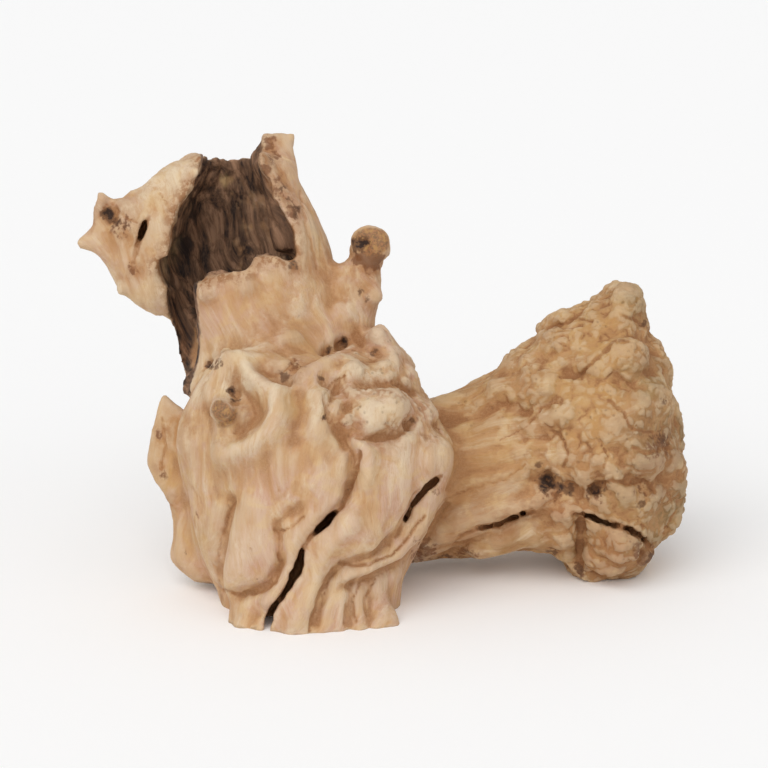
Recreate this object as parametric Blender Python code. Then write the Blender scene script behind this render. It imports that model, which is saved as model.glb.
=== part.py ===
"""Aquarium driftwood: one gnarled root with a sawn foot, a hollow broken limb and a burled limb.

The wood is shaped in millimetres in a front view that looks down on it by TILT: x runs right, y away
from the viewer and z up the view. It is then turned upright and moved by MIDDLE, which centres it over
the origin, and stands on z = 0 in metres.
"""

import itertools
import math

import bmesh
import bpy
import numpy as np
from mathutils import Matrix, Vector

# The front view
TILT = math.radians(15.0)
VIEW_DISTANCE = 1200.0
MIDDLE = Vector((-1.35, 3.8, 100.0))
MM = 0.001

# How finely the wood is shaped
SIDES = 32
ROWS_BETWEEN = 5
FIRST_VOXEL = 2.6
VOXEL = 2.2
CLEFT_VOXEL = 1.3
SMOOTHINGS = 6
TRIANGLES = 11400

# The wood's surface
WOOD_COLOUR = (0.60, 0.39, 0.20, 1.0)
WOOD_ROUGHNESS = 0.75

# Limbs: the way each one runs, then rings of (right, up, back, half width, half depth).
# Rings lie across the way, and a limb that runs back has a half height in place of its half depth.
LIMBS = {
    "bole": ("up", [
        (-37, -142, -15, 42, 42),
        (-37, -124, -15, 43, 43),
        (-37, -108, -14, 45, 45),
        (-38, -93, -13, 50, 47),
        (-38, -78, -13, 56, 50),
        (-36, -58, -12, 62, 52),
        (-35, -38, -12, 67, 55),
        (-36, -18, -12, 65, 54),
        (-38, -4, -12, 57, 49),
        (-38, 6, -11, 48, 41),
        (-38, 13, -10, 32, 30),
        (-36, 17, -9, 12, 14),
    ]),
    "foot_front": ("up", [
        (-35, -145, -45, 45, 12),
        (-35, -124, -44, 45, 12),
        (-36, -112, -40, 42, 12),
        (-37, -100, -36, 38, 12),
    ]),
    "brow": ("up", [
        (-68, -38, -34, 20, 20),
        (-71, -22, -34, 20, 20),
        (-75, -8, -34, 17, 17),
        (-76, 0, -35, 12, 12),
        (-76, 6, -36, 7, 7),
        (-75, 10, -36, 2.5, 3),
    ]),
    "left_fin": ("up", [
        (-88, -99, 4, 8, 8),
        (-91, -88, 4, 16, 11),
        (-90, -76, 4, 16, 13),
        (-91, -60, 4, 17, 12),
        (-99, -42, 4, 20, 11),
        (-104, -26, 4, 13.5, 9),
        (-108, -15, 3, 7.5, 6),
        (-110, -7, 3, 4, 3),
        (-111, -2, 2, 1.5, 1.5),
    ]),
    "shoulder": ("up", [
        (-2, 32, -12, 2, 2),
        (-2, 27, -13, 5, 6),
        (-2, 22, -14, 9, 11),
        (0, 14, -14, 13, 17),
        (2, 4, -14, 16, 22),
        (4, -7, -14, 17, 25),
        (8, -15, -14, 18.5, 27),
        (12, -24, -14, 20, 29),
        (15, -34, -14, 20, 31),
        (14, -44, -14, 20, 32),
        (9, -58, -12, 19, 32),
        (3, -78, -10, 16, 26),
        (-4, -100, -8, 12, 20),
    ]),
    "hollow_limb": ("up", [
        (-42, -20, 4, 44, 34),
        (-50, 0, 6, 50, 36),
        (-53, 12, 8, 50, 37),
        (-61, 32, 11, 46, 38),
        (-70, 52, 13, 47, 39),
        (-75, 72, 15, 48, 39),
        (-79, 92, 17, 42, 37),
        (-80, 102, 18, 37, 36),
        (-77, 109, 18, 29, 34),
        (-73, 115, 18, 20, 32),
    ]),
    "lobe": ("right", [
        (-80, 76, 16, 28, 20),
        (-95, 74, 9, 36, 24),
        (-108, 71, 4, 37, 21),
        (-119, 69, 2, 33, 17),
        (-129, 69, 1, 26, 13),
        (-137, 73, 1, 17, 9),
        (-145, 72, 1, 7, 6),
        (-154, 70, 0, 3, 3),
    ]),
    "lobe_point": ("up", [
        (-136, 80, 1, 9, 7),
        (-140, 89, -1, 6, 5),
        (-143, 98, -2, 2, 2),
    ]),
    "knot_stub": ("up", [
        (-24, 16, 4, 18, 20),
        (-21, 32, 4, 15, 17),
        (-15.5, 46, 4, 15, 13),
        (-12, 56, 4, 12, 11),
        (-9, 63, 5, 9.5, 9),
        (-7, 70, 6, 10, 9),
        (-6, 77, 6, 7, 6),
    ]),
    "knot_end": ("back", [
        (-8, 66, 8, 8.5, 8),
        (-7, 68.5, 0, 10, 9.5),
        (-6, 70, -5, 11, 10.5),
        (-6, 70.5, -9, 10.5, 10),
        (-6, 70.5, -11.5, 8.5, 8),
    ]),
    "burl_limb": ("right", [
        (-30, -52, 12, 34, 30),
        (8, -50, 22, 40, 32),
        (26, -47.5, 25, 41.5, 34),
        (44, -43, 26, 44, 37),
        (63, -35, 26, 49, 42),
        (80, -26.5, 26, 58.5, 47),
        (98, -25.5, 26, 67.5, 51),
        (110, -24.5, 26, 72.5, 52),
        (120, -23.5, 26, 74.5, 50),
        (127, -28, 26, 69, 46),
        (135, -31, 26, 55, 40),
        (142, -35, 26, 41, 31),
        (147.5, -41, 26, 27, 20),
        (151, -47, 26, 12, 10),
    ]),
    "burl_foot": ("up", [
        (100, -99, 22, 8, 12),
        (100, -92, 22, 9.5, 16),
        (103, -80, 23, 13, 24),
        (110, -62, 24, 16, 26),
    ]),
    "twig_stub": ("back", [
        (-78, -14, -34, 9, 9),
        (-80, -13, -48, 7.5, 7.5),
        (-81, -13, -58, 6.5, 6.5),
        (-81, -13, -63, 5.8, 5.8),
    ]),
}

# The spike of wall that stands above the broken end
HORN = ("up", [
    (-46, 66, 14, 9, 10),
    (-48, 86, 13, 10, 12),
    (-52, 100, 11, 9.5, 14),
    (-54.5, 108, 12, 11, 13),
    (-55, 114, 15, 10.5, 9),
    (-53.5, 120, 17, 9.5, 5.5),
    (-52.5, 126, 18, 9, 4),
])

# The hollow: a cavity that leaves a wall all round, and a gouge down the limb's left side
HOLLOW = {
    "cavity": ("up", [
        (-66, 20, 10, 10, 8),
        (-68, 30, 11, 24, 20),
        (-72, 46, 12, 33, 27),
        (-78, 62, 13, 34, 29),
        (-77, 76, 14, 32, 30),
        (-77, 90, 15, 26, 29),
        (-76, 102, 16, 19, 27),
        (-76, 112, 17, 15, 25),
        (-76, 130, 18, 13, 22),
    ]),
    "gouge": ("up", [
        (-100, -6, -4, 3, 6),
        (-100, 6, -6, 6, 18),
        (-99, 18, -6, 7, 22),
        (-99, 32, -4, 7.5, 24),
        (-100, 44, -2, 8, 26),
        (-98, 56, 0, 9, 24),
    ]),
}

# Where the limb's front wall is gone: an outline of (right, up), and how far back it reaches
MOUTH = [
    (-90, 124), (-62, 124), (-62, 108), (-57, 100), (-52, 88), (-47, 78), (-45, 61), (-49, 63),
    (-64, 64), (-69, 57), (-80, 54), (-91, 51), (-95, 47), (-98, 44), (-103, 41), (-108, 49),
    (-114, 58), (-107, 69), (-105, 80), (-102, 90), (-97, 99), (-91, 108),
]
MOUTH_BACK = 8

# The torn edge: how close its points are, how long its teeth are along it and how far they stick out
TEAR_STEP = 1.5
TEAR_SIZE = 4.0
TEAR = 2.4

# Clefts: how far back each reaches, then a line of (right, up, half width) in the front view
CLEFTS = {
    "long_cleft": (-34, [
        (-20, -60.5, 0.6), (-25, -65, 1.9), (-31, -71, 2.3), (-36, -76, 1.5), (-40, -81, 1.2),
        (-41.5, -86, 2.1), (-43, -92, 3.2), (-46, -98, 2.6), (-50, -104.5, 1.8), (-54, -110, 2),
        (-57, -115, 2.6), (-58.5, -122, 2.2), (-59.5, -131, 2), (-60, -145, 2.2),
    ]),
    "side_cleft": (-26, [
        (28, -46, 0.6), (25, -49, 2.6), (20.5, -53, 2.4), (16, -58, 1.8), (13, -63, 1.9), (10, -69, 1.7),
        (7, -75, 1.4), (3, -80, 0.6),
    ]),
    "limb_crease": (6, [
        (38, -75.5, 0.6), (48, -72, 1.8), (58, -70, 1.6), (67, -65.5, 1.9), (75, -63.5, 0.8),
    ]),
    "burl_cleft": (3, [
        (94, -64.5, 0.8), (103, -66, 2.2), (112, -70, 1.8), (123, -73, 2.2), (130, -78, 2.1), (134, -84, 0.8),
    ]),
    "lobe_slit": (4, [
        (-117.5, 83.5, 0.6), (-119.5, 80, 2.1), (-121, 76, 2.2), (-122.5, 71, 1.8), (-124.5, 65, 1.7),
        (-125.5, 61, 0.6),
    ]),
}
CLEFT_FRONT = -95
CLEFT_TAPER = 0.7
CLEFT_CHIP = 1.1

# Folds and creases of the grain on the front: height, half width, then (right, up) points
STROKES = [
    (4.0, 6.5, [(-76, 10), (-86, 5), (-95, -4), (-101, -16), (-102, -30)]),
    (7.0, 6.5, [(-75, 9), (-65, 2), (-55, -5), (-52, -14), (-57, -24), (-67, -31), (-79, -35)]),
    (-5.5, 4.5, [(-73, 1), (-66, -8), (-64, -16), (-71, -24)]),
    (-3.0, 5.0, [(-91, -14), (-90, -34), (-84, -56)]),
    (4.0, 5.0, [(-33, -4), (-30, -14), (-34, -26)]),
    (-4.0, 4.5, [(-43, -4), (-42, -14), (-46, -28)]),
    (3.5, 10.0, [(-30, -50), (-27, -60)]),
    (-6.0, 2.6, [(-24, 0), (-28, -12), (-24, -22), (-15, -36), (-15, -47), (-19, -58), (-30, -70)]),
    (3.0, 4.0, [(-20, -18), (-9, -34), (-9, -48)]),
    (4.5, 8.5, [(-67, -62), (-69, -83), (-76, -99)]),
    (-5.0, 3.2, [(-77, -58), (-81, -75), (-83, -92), (-81, -108), (-80, -124)]),
    (-5.0, 2.6, [(-53, -74), (-51, -89), (-58, -100), (-72, -106)]),
    (4.0, 3.6, [(-36, -67), (-47, -82), (-48, -96), (-58, -109)]),
    (-3.0, 2.6, [(-54, -70), (-43, -62)]),
    (4.0, 5.0, [(-17, -68), (-30, -84), (-37, -103), (-45, -122)]),
    (-5.0, 2.4, [(18, -56), (8, -75), (-4, -85), (-19, -90), (-28, -98), (-34, -120)]),
    (3.5, 3.6, [(27, -56), (15, -72), (6, -85), (-10, -92), (-20, -96)]),
    (-4.5, 2.4, [(31, -62), (21, -75), (11, -88), (-6, -97), (-20, -102)]),
    (3.5, 12.0, [(6, -45), (-4, -62), (-14, -75)]),
    (-3.5, 2.0, [(-15, -100), (-17, -124)]),
    (-3.5, 2.0, [(-6, -100), (-7, -124)]),
    (-6.5, 3.4, [(-61, 6), (-54, 3), (-47, 3)]),
    (5.5, 6.0, [(-64, 13), (-56, 18), (-47, 22)]),
    (-3.5, 2.6, [(-46, 8), (-36, 12), (-27, 17), (-19, 21)]),
    (4.0, 3.2, [(-44, 4), (-34, 9), (-25, 13), (-16, 16)]),
    (-3.0, 2.4, [(-34, -2), (-27, 3), (-18, 4)]),
    (-4.5, 3.2, [(-15, -24), (-6, -27), (6, -25), (13, -20)]),
    (-4.5, 3.0, [(-21, 0), (-18, -9), (-22, -18), (-17, -26)]),
    (-3.5, 2.8, [(-14, 1), (-4, 0), (8, 0), (16, -4)]),
    (3.0, 6.0, [(24, -13), (43, -8), (60, 2)]),
    (-3.0, 3.0, [(28, -20), (48, -15), (58, -8)]),
    (4.5, 6.0, [(20, -78), (43, -70), (63, -63), (78, -58)]),
    (-5.0, 3.0, [(30, -88), (43, -80), (58, -73), (68, -68), (78, -65)]),
    (3.5, 6.0, [(48, -83), (73, -75), (90, -78)]),
    (-5.5, 2.6, [(97, -66), (97.5, -76), (96, -88)]),
    (-4.5, 4.0, [(76, -48), (88, -53), (96, -56), (108, -53)]),
    (-3.5, 3.0, [(90, 8), (104, 2), (116, 3), (128, -1)]),
    (-3.5, 3.0, [(108, 24), (120, 27), (131, 22)]),
    (-3.0, 3.0, [(60, -8), (72, -14), (80, -24)]),
    (-3.5, 3.0, [(120, -48), (134, -50), (146, -46)]),
]

# The same on the back, where (right, up) is still as seen from the front
BACK_STROKES = [
    (4.5, 6.0, [(-92, 100), (-86, 70), (-78, 40), (-72, 10), (-80, -25), (-76, -60), (-66, -95)]),
    (-5.0, 3.5, [(-82, 112), (-76, 84), (-68, 52), (-60, 20), (-64, -12), (-60, -48)]),
    (4.0, 5.0, [(-68, 108), (-62, 76), (-52, 40), (-46, 8), (-50, -20)]),
    (-4.5, 3.0, [(-50, 84), (-44, 50), (-34, 20), (-34, -6), (-44, -30), (-42, -70)]),
    (-6.0, 3.0, [(-58, 8), (-40, -6), (-16, -10), (6, -22)]),
    (4.5, 6.0, [(-30, -14), (-4, -22), (24, -24), (50, -14), (72, 2)]),
    (-5.0, 3.0, [(-20, -36), (10, -36), (40, -32), (66, -22), (84, -10)]),
    (4.0, 6.0, [(-34, -56), (0, -52), (34, -50), (66, -44), (90, -34)]),
    (-5.0, 3.5, [(-26, -78), (6, -70), (36, -66), (66, -62), (92, -60)]),
    (-6.0, 4.0, [(96, -44), (108, -40), (122, -46), (132, -58)]),
    (-5.0, 3.0, [(86, 12), (100, 6), (112, 10), (126, 2)]),
    (5.0, 12.0, [(112, 26), (118, 20)]),
    (4.5, 12.0, [(104, -18), (110, -22)]),
]

# Lumps and pits on the front: (right, up, radius, height)
DABS = [
    (120, 16, 15, 6.5), (106, 10, 10, 4.0), (134, -8, 13, 5.0), (120, -22, 14, 5.0), (90, -15, 8, 6.0),
    (69, 9, 11, 5.0), (58, -4, 8, 3.5), (80, -2, 8, 3.5), (92, 22, 10, 4.5), (121, 42, 12, 6.0),
    (130, -36, 11, 4.5), (108, -38, 9, 3.5), (140, 10, 7, 3.0), (106, 30, 8, 3.5), (115, -86, 16, 5.0),
    (99, -42, 10, 3.0), (86, -36, 9, 2.5), (82, -49, 6, -8.0), (105.5, -54, 5, -7.0), (150, -20, 7, -4.0),
    (88, -68, 8, 2.5), (-138, 85, 7, -6.0), (-132, 47, 5, 5.0), (-11, 70, 5, -6.0), (-75.5, -3, 3, -5.0),
    (-74.3, -8, 3.2, -6.0), (93, -53, 4, -4.0), (85, -62, 12, -3.5), (-86, 9, 4.5, -6.0), (-3, 24, 5, 4.0),
    (3, 8, 8, 3.5), (-16, 9, 8, 4.0), (0, -11, 15, 7.0), (-51, 3, 5, -4.0), (-5, 17, 4, -4.5),
    (-20, 21, 4, -4.5), (-28, 17, 4, -4.0), (14, -19, 4, -4.5), (-30, -17, 4, -4.5), (-30, 3, 4, -4.0),
    (27, -36, 12, 4.0), (-96, 32, 5, 3.0), (-88, 46, 6, 3.0), (-70, 50, 8, 3.0), (-20, 36, 8, 3.0),
    (-5, 44, 5, 3.0),
]

# Where the grain runs: (way in the front view, wave length across, wave length along, height)
ROOT_GRAIN = [((0.10, 0.0, 1.0), 20.0, 70.0, 2.8), ((0.10, 0.0, 1.0), 8.0, 40.0, 1.2)]
LIMB_GRAIN = [((-0.35, 0.05, 0.93), 15.0, 90.0, 3.0), ((-0.35, 0.05, 0.93), 6.5, 50.0, 1.4)]
BURL_GRAIN = [((1.0, 0.0, 0.15), 15.0, 80.0, 4.2), ((1.0, 0.0, 0.15), 7.0, 40.0, 1.8)]

# Knobs of the burl and of the gnarled collar: (distance apart, height)
KNOBS = [(25.0, 6.5), (12.0, 2.4)]
GNARL = [(14.0, 3.6), (7.0, 1.5)]

# How squarely a face looks at the viewer before it takes a whole stroke or dab
FACING = 0.45


def seen(right, up, back):
    """The point at a depth (back) that shows at (right, up) in the front view."""
    nearer = 1 + back / VIEW_DISTANCE
    return Vector((right * nearer, back, up * nearer))


def smooth_rows(rows, between):
    """Rows through the given ones on a Catmull-Rom curve, with (between) steps from each to the next."""
    rows = np.array(rows, float)
    ends = np.vstack([2 * rows[0] - rows[1], rows, 2 * rows[-1] - rows[-2]])
    made = []
    for a, b, c, d in zip(ends, ends[1:], ends[2:], ends[3:]):
        for step in range(between):
            t = step / between
            made.append(
                0.5 * (2 * b + (c - a) * t + (2 * a - 5 * b + 4 * c - d) * t**2
                       + (3 * b - a - 3 * c + d) * t**3)
            )
    return np.array([*made, rows[-1]])


def new_object(name, bm):
    bmesh.ops.recalc_face_normals(bm, faces=bm.faces)
    mesh = bpy.data.meshes.new(name)
    bm.to_mesh(mesh)
    bm.free()
    wood = bpy.data.objects.new(name, mesh)
    bpy.context.scene.collection.objects.link(wood)
    return wood


def closed_tube(name, loops):
    """A closed shape through loops of points, with flat ends."""
    bm = bmesh.new()
    rows = [[bm.verts.new(point) for point in loop] for loop in loops]
    count = len(rows[0])
    for low, high in zip(rows, rows[1:]):
        for side in range(count):
            after = (side + 1) % count
            bm.faces.new((low[side], low[after], high[after], high[side]))
    bm.faces.new(rows[0])
    bm.faces.new(rows[-1])
    return new_object(name, bm)


def limb(name, way, rings):
    """A closed limb through rings of (right, up, back, half width, half depth)."""
    loops = []
    for right, up, back, wide, deep in smooth_rows(rings, ROWS_BETWEEN):
        loop = []
        for side in range(SIDES):
            turn = math.tau * side / SIDES
            out = max(wide, 0.8) * math.cos(turn)
            over = max(deep, 0.8) * math.sin(turn)
            if way == "back":
                loop.append(seen(right + out, up + over, back))
                continue
            point = seen(right + out, up, back) if way == "up" else seen(right, up + out, back)
            point.y += over
            loop.append(point)
        loops.append(loop)
    return closed_tube(name, loops)


def chipped(spots, reach):
    """(right, up) points moved unevenly, by up to about (reach)."""
    places = np.insert(spots, 1, 0.0, axis=1) / TEAR_SIZE
    return spots + reach * np.stack([noise(places, 81), noise(places, 82)], axis=-1)


def ragged(outline):
    """A closed outline of (right, up) points, broken up as torn wood is."""
    corners = np.array(outline, float)
    spots = []
    for start, end in zip(corners, np.roll(corners, -1, axis=0)):
        steps = max(1, round(np.linalg.norm(end - start) / TEAR_STEP))
        spots.extend(start + (end - start) * step / steps for step in range(steps))
    return chipped(np.array(spots), TEAR)


def window(name, outline, back):
    """A closed cutter with an outline as seen from the front."""
    return closed_tube(name, [[seen(*spot, depth) for spot in outline] for depth in (CLEFT_FRONT, back)])


def cleft(name, back, line):
    """A closed cutter along a line as seen from the front, narrower at its back."""
    rows = smooth_rows(line, 3)
    along = np.gradient(rows[:, :2], axis=0)
    along /= np.linalg.norm(along, axis=1)[:, None]
    across = np.stack([along[:, 1], -along[:, 0]], axis=1)
    loops = []
    for depth, share in ((CLEFT_FRONT, 1.0), (back, CLEFT_TAPER)):
        shift = across * np.maximum(rows[:, 2:], 0.4) * share
        outline = chipped(np.vstack([rows[:, :2] + shift, (rows[:, :2] - shift)[::-1]]), CLEFT_CHIP)
        loops.append([seen(*spot, depth) for spot in outline])
    return closed_tube(name, loops)


def settle(wood):
    """Applies the object's modifiers."""
    graph = bpy.context.evaluated_depsgraph_get()
    mesh = bpy.data.meshes.new_from_object(wood.evaluated_get(graph))
    wood.modifiers.clear()
    old = wood.data
    wood.data = mesh
    bpy.data.meshes.remove(old)


def combine(wood, others, operation):
    """Joins or cuts one object with others, and removes them."""
    for other in others:
        step = wood.modifiers.new(other.name, "BOOLEAN")
        step.operation = operation
        step.object = other
    settle(wood)
    for other in others:
        bpy.data.objects.remove(other)


def remesh(wood, voxel):
    step = wood.modifiers.new("Even faces", "REMESH")
    step.mode = "VOXEL"
    step.voxel_size = voxel
    settle(wood)


def hashed(cell, seed):
    """A repeatable number from 0 to 1 for each whole-number cell."""
    mix = np.full(cell.shape[:-1], seed * 7919 + 1, np.uint32)
    for axis, step in enumerate((374761393, 668265263, 2246822519)):
        mix = (mix ^ (cell[..., axis].astype(np.uint32) * np.uint32(step))) * np.uint32(2654435761)
        mix ^= mix >> np.uint32(15)
    return mix / 2.0**32


def noise(points, seed):
    """Smooth noise from about -1 to 1, with features one unit apart."""
    cell = np.floor(points).astype(np.int64)
    part = points - cell
    ease = part**3 * (part * (part * 6 - 15) + 10)
    total = np.zeros(len(points))
    for corner in itertools.product((0, 1), repeat=3):
        at = cell + corner
        slope = np.stack([hashed(at, seed * 3 + axis) for axis in range(3)], axis=-1) * 2 - 1
        weight = np.prod(np.where(corner, ease, 1 - ease), axis=-1)
        total += weight * ((part - corner) * slope).sum(axis=-1)
    return total * 1.5


def scatter(points, seed):
    """Distances to the nearest and the second nearest of points strewn one to a unit cell."""
    cell = np.floor(points).astype(np.int64)
    nearest = np.full(len(points), 9.0)
    second = nearest.copy()
    for step in itertools.product((-1, 0, 1), repeat=3):
        at = cell + step
        spot = at + np.stack([hashed(at, seed * 3 + axis) for axis in range(3)], axis=-1)
        gap = np.linalg.norm(spot - points, axis=-1)
        second = np.minimum(second, np.maximum(nearest, gap))
        nearest = np.minimum(nearest, gap)
    return nearest, second


def warp(points, size, reach, seed):
    """The points moved by up to about (reach) in swirls (size) apart."""
    moves = [noise(points / size, seed + axis) for axis in range(3)]
    return points + reach * np.stack(moves, axis=-1)


def ramp(value, low, high):
    """0 below low, 1 above high, and smooth between."""
    t = np.clip((value - low) / (high - low), 0, 1)
    return t * t * (3 - 2 * t)


def furrows(points, way, across, along, height, seed):
    """Rounded ridges with sharp creases between them, long along the grain's way."""
    way = np.array(way) / np.linalg.norm(way)
    run = points @ way
    squeezed = (points - np.outer(run, way)) / across + np.outer(run / along, way)
    return height * (np.abs(noise(squeezed, seed)) ** 0.75 - 0.35)


def knobs(points, size, height, seed):
    """Close-set round lumps of mixed heights, with creases between them."""
    nearest, second = scatter(points / size, seed)
    lump = ramp(second - nearest, -0.15, 0.55)
    tall = 0.7 + 0.9 * noise(points / (2.3 * size), seed + 5)
    return height * (lump - 0.6) * np.clip(tall, 0.25, 1.4)


def stroke_gap(flat, line):
    """Distance of points in the front view from a line through (right, up) points."""
    line = np.array(line, float)
    gap = np.full(len(flat), 1e9)
    for start, end in zip(line, line[1:]):
        way = end - start
        t = np.clip((flat - start) @ way / (way @ way), 0, 1)
        gap = np.minimum(gap, np.linalg.norm(flat - start - np.outer(t, way), axis=1))
    return gap


def regions(points):
    """How far each point belongs to the hollow limb, the burled limb, its burl and the gnarled collar."""
    right, back, up = points.T
    limb_share = ramp(up - 0.25 * np.abs(right + 50), -4, 14) * ramp(-right, -30, -10)
    side_share = ramp(right + 0.25 * back, 20, 34) * (1 - limb_share)
    burl_share = ramp(right + 0.35 * (up + 30), 48, 84)
    collar_share = ramp(right, -30, -16) * ramp(up, -34, -22) * ramp(-up, -34, -24)
    return limb_share, side_share, burl_share, collar_share


def grain_and_knobs(points, level):
    """Height of one level of ridges along the grain, with knobs on the burl and the collar."""
    limb_share, side_share, burl_share, collar_share = regions(points)
    flow = warp(warp(points, 55.0, 16.0, 1), 20.0, 4.0, 5)
    seed = 20 + 20 * level
    root = furrows(flow, *ROOT_GRAIN[level], seed + 1)
    swirl = warp(points, KNOBS[level][0], 0.3 * KNOBS[level][0], 8 + level)
    root += (knobs(swirl, *GNARL[level], seed + 4) - 0.5 * root) * collar_share
    limb_part = furrows(flow, *LIMB_GRAIN[level], seed + 2)
    side = furrows(flow, *BURL_GRAIN[level], seed + 3)
    side += (knobs(swirl, *KNOBS[level], seed + 5) - 0.75 * side) * burl_share
    return root * (1 - limb_share) * (1 - side_share) + limb_part * limb_share + side * side_share


def broad_relief(points, normals):
    """Height of the main folds, creases, lumps and knobs, along the normals."""
    flat = points[:, [0, 2]] / (1 + points[:, [1]] / VIEW_DISTANCE)
    facing = ramp(-normals[:, 1], 0.05, FACING)
    height = grain_and_knobs(points, 0)
    for side, strokes in ((facing, STROKES), (ramp(normals[:, 1], 0.05, FACING), BACK_STROKES)):
        for rise, half, line in strokes:
            height += side * rise * np.exp(-((stroke_gap(flat, line) / half) ** 2))
    for right, up, radius, rise in DABS:
        gap = np.linalg.norm(flat - (right, up), axis=1) / radius
        height += facing * rise * np.clip(1 - gap**2, 0, 1) ** 1.5
    return height


def close_relief(points, normals):
    """Height of the smaller ridges and knobs."""
    return grain_and_knobs(points, 1)


def surface(mesh):
    """The places and the normals of a mesh's vertices."""
    points = np.empty(len(mesh.vertices) * 3)
    normals = np.empty(len(mesh.vertices) * 3)
    mesh.vertices.foreach_get("co", points)
    mesh.vertex_normals.foreach_get("vector", normals)
    return points.reshape(-1, 3), normals.reshape(-1, 3)


def carve(wood, relief):
    """Moves the surface in or out along its normals by the relief."""
    points, normals = surface(wood.data)
    moved = points + normals * relief(points, normals)[:, None]
    wood.data.vertices.foreach_set("co", moved.ravel())
    wood.data.update()


def smooth(wood, times):
    step = wood.modifiers.new("Blend", "SMOOTH")
    step.iterations = times
    step.factor = 0.5
    settle(wood)


def thin_out(wood, triangles):
    """Fewer faces where the surface is flat, down to a number of triangles."""
    step = wood.modifiers.new("Fewer faces", "DECIMATE")
    step.use_collapse_triangulate = True
    step.ratio = triangles / (2 * len(wood.data.polygons))
    settle(wood)


def drop_scraps(wood):
    """Keeps the wood itself and removes any loose scrap that the cutting left."""
    bm = bmesh.new()
    bm.from_mesh(wood.data)
    left = set(bm.verts)
    pieces = []
    while left:
        piece = [left.pop()]
        for vertex in piece:
            for edge in vertex.link_edges:
                other = edge.other_vert(vertex)
                if other in left:
                    left.remove(other)
                    piece.append(other)
        pieces.append(piece)
    pieces.sort(key=len)
    scraps = [vertex for piece in pieces[:-1] for vertex in piece]
    bmesh.ops.delete(bm, geom=scraps, context="VERTS")
    bm.to_mesh(wood.data)
    bm.free()


def stand(wood):
    """Turns the wood upright, in metres, and saws its feet flat on z = 0."""
    upright = Matrix.Translation(MIDDLE) @ Matrix.Rotation(-TILT, 4, "X")
    wood.data.transform(Matrix.Scale(MM, 4) @ upright)
    bm = bmesh.new()
    bmesh.ops.create_cube(bm, size=1.0, matrix=Matrix.Translation((0, 0, -0.5)))
    combine(wood, [new_object("table", bm)], "DIFFERENCE")


def finish(wood):
    """Smooth shading and the material."""
    wood.data.shade_smooth()
    material = bpy.data.materials.new("pale driftwood")
    material.use_nodes = True
    surface = material.node_tree.nodes["Principled BSDF"]
    surface.inputs["Base Color"].default_value = WOOD_COLOUR
    surface.inputs["Roughness"].default_value = WOOD_ROUGHNESS
    surface.inputs["Metallic"].default_value = 0.0
    wood.data.materials.clear()
    wood.data.materials.append(material)


def main():
    for old in list(bpy.data.objects):
        bpy.data.objects.remove(old)
    limbs = [limb(name, *shape) for name, shape in LIMBS.items()]
    wood = limbs[0]
    combine(wood, limbs[1:], "UNION")
    remesh(wood, FIRST_VOXEL)
    smooth(wood, SMOOTHINGS)
    hollow = [limb(name, *shape) for name, shape in HOLLOW.items()]
    combine(wood, [*hollow, window("mouth", ragged(MOUTH), MOUTH_BACK)], "DIFFERENCE")
    combine(wood, [limb("horn", *HORN)], "UNION")
    remesh(wood, VOXEL)
    carve(wood, broad_relief)
    remesh(wood, VOXEL)
    carve(wood, close_relief)
    remesh(wood, VOXEL)
    combine(wood, [cleft(name, *shape) for name, shape in CLEFTS.items()], "DIFFERENCE")
    remesh(wood, CLEFT_VOXEL)
    drop_scraps(wood)
    thin_out(wood, TRIANGLES)
    stand(wood)
    finish(wood)
    wood.name = "driftwood"


main()
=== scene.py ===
"""Visual model of the aquarium driftwood: one gnarled, sandblasted root.

The wood's form repeats the CAD part's, with finer relief. It is shaped in millimetres in a front
view that looks down on it by TILT: x runs right, y away from the viewer and z up the view. It is
then turned upright and moved by MIDDLE, and stands on z = 0 in metres.
"""

import itertools
import math

import bmesh
import bpy
import numpy as np
from mathutils import Matrix, Vector

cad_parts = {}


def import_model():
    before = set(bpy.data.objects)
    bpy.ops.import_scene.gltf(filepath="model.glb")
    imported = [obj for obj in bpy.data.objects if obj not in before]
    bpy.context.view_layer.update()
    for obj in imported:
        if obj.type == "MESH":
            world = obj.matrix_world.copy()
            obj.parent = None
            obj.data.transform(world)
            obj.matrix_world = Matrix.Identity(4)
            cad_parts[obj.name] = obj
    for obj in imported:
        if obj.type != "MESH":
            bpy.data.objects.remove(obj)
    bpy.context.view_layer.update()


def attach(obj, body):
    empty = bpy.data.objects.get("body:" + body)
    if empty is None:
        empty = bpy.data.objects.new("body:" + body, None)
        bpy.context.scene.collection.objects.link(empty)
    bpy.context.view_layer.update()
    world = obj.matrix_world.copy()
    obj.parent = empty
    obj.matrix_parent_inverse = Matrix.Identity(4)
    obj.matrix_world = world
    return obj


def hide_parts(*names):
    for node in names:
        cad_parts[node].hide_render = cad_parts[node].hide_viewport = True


# The front view: how far it looks down, from how far away, and where its middle is
TILT = math.radians(15.0)
VIEW_DISTANCE = 1200.0
MIDDLE = Vector((-1.35, 3.8, 100.0))
MM = 0.001

# How finely the wood is shaped: points round a limb, rows from ring to ring, voxels and so on
SIDES = 32
ROWS_BETWEEN = 5
CLEFT_ROWS = 3
THIN_LIMB = 0.8
THIN_CLEFT = 0.4
FIRST_VOXEL = 2.6
VOXEL = 1.15
SMOOTHINGS = 6
TRIANGLES = 194000

# The camera: the picture's width at the wood, and the sensor's width
PICTURE_WIDTH = 384.0
SENSOR = 36.0

# The stage, in metres. A sun lamp has a place, a spread in degrees and a strength.
FLOOR_HALF = 8.0
FLOOR_COLOUR = (0.97, 0.97, 0.97, 1)
LIGHTS = {
    "key": ((-0.7, -1.3, 1.6), 60.0, 1.5),
    "fill": ((1.2, -1.4, 0.7), 60.0, 0.35),
}
SKY = 0.60

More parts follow.
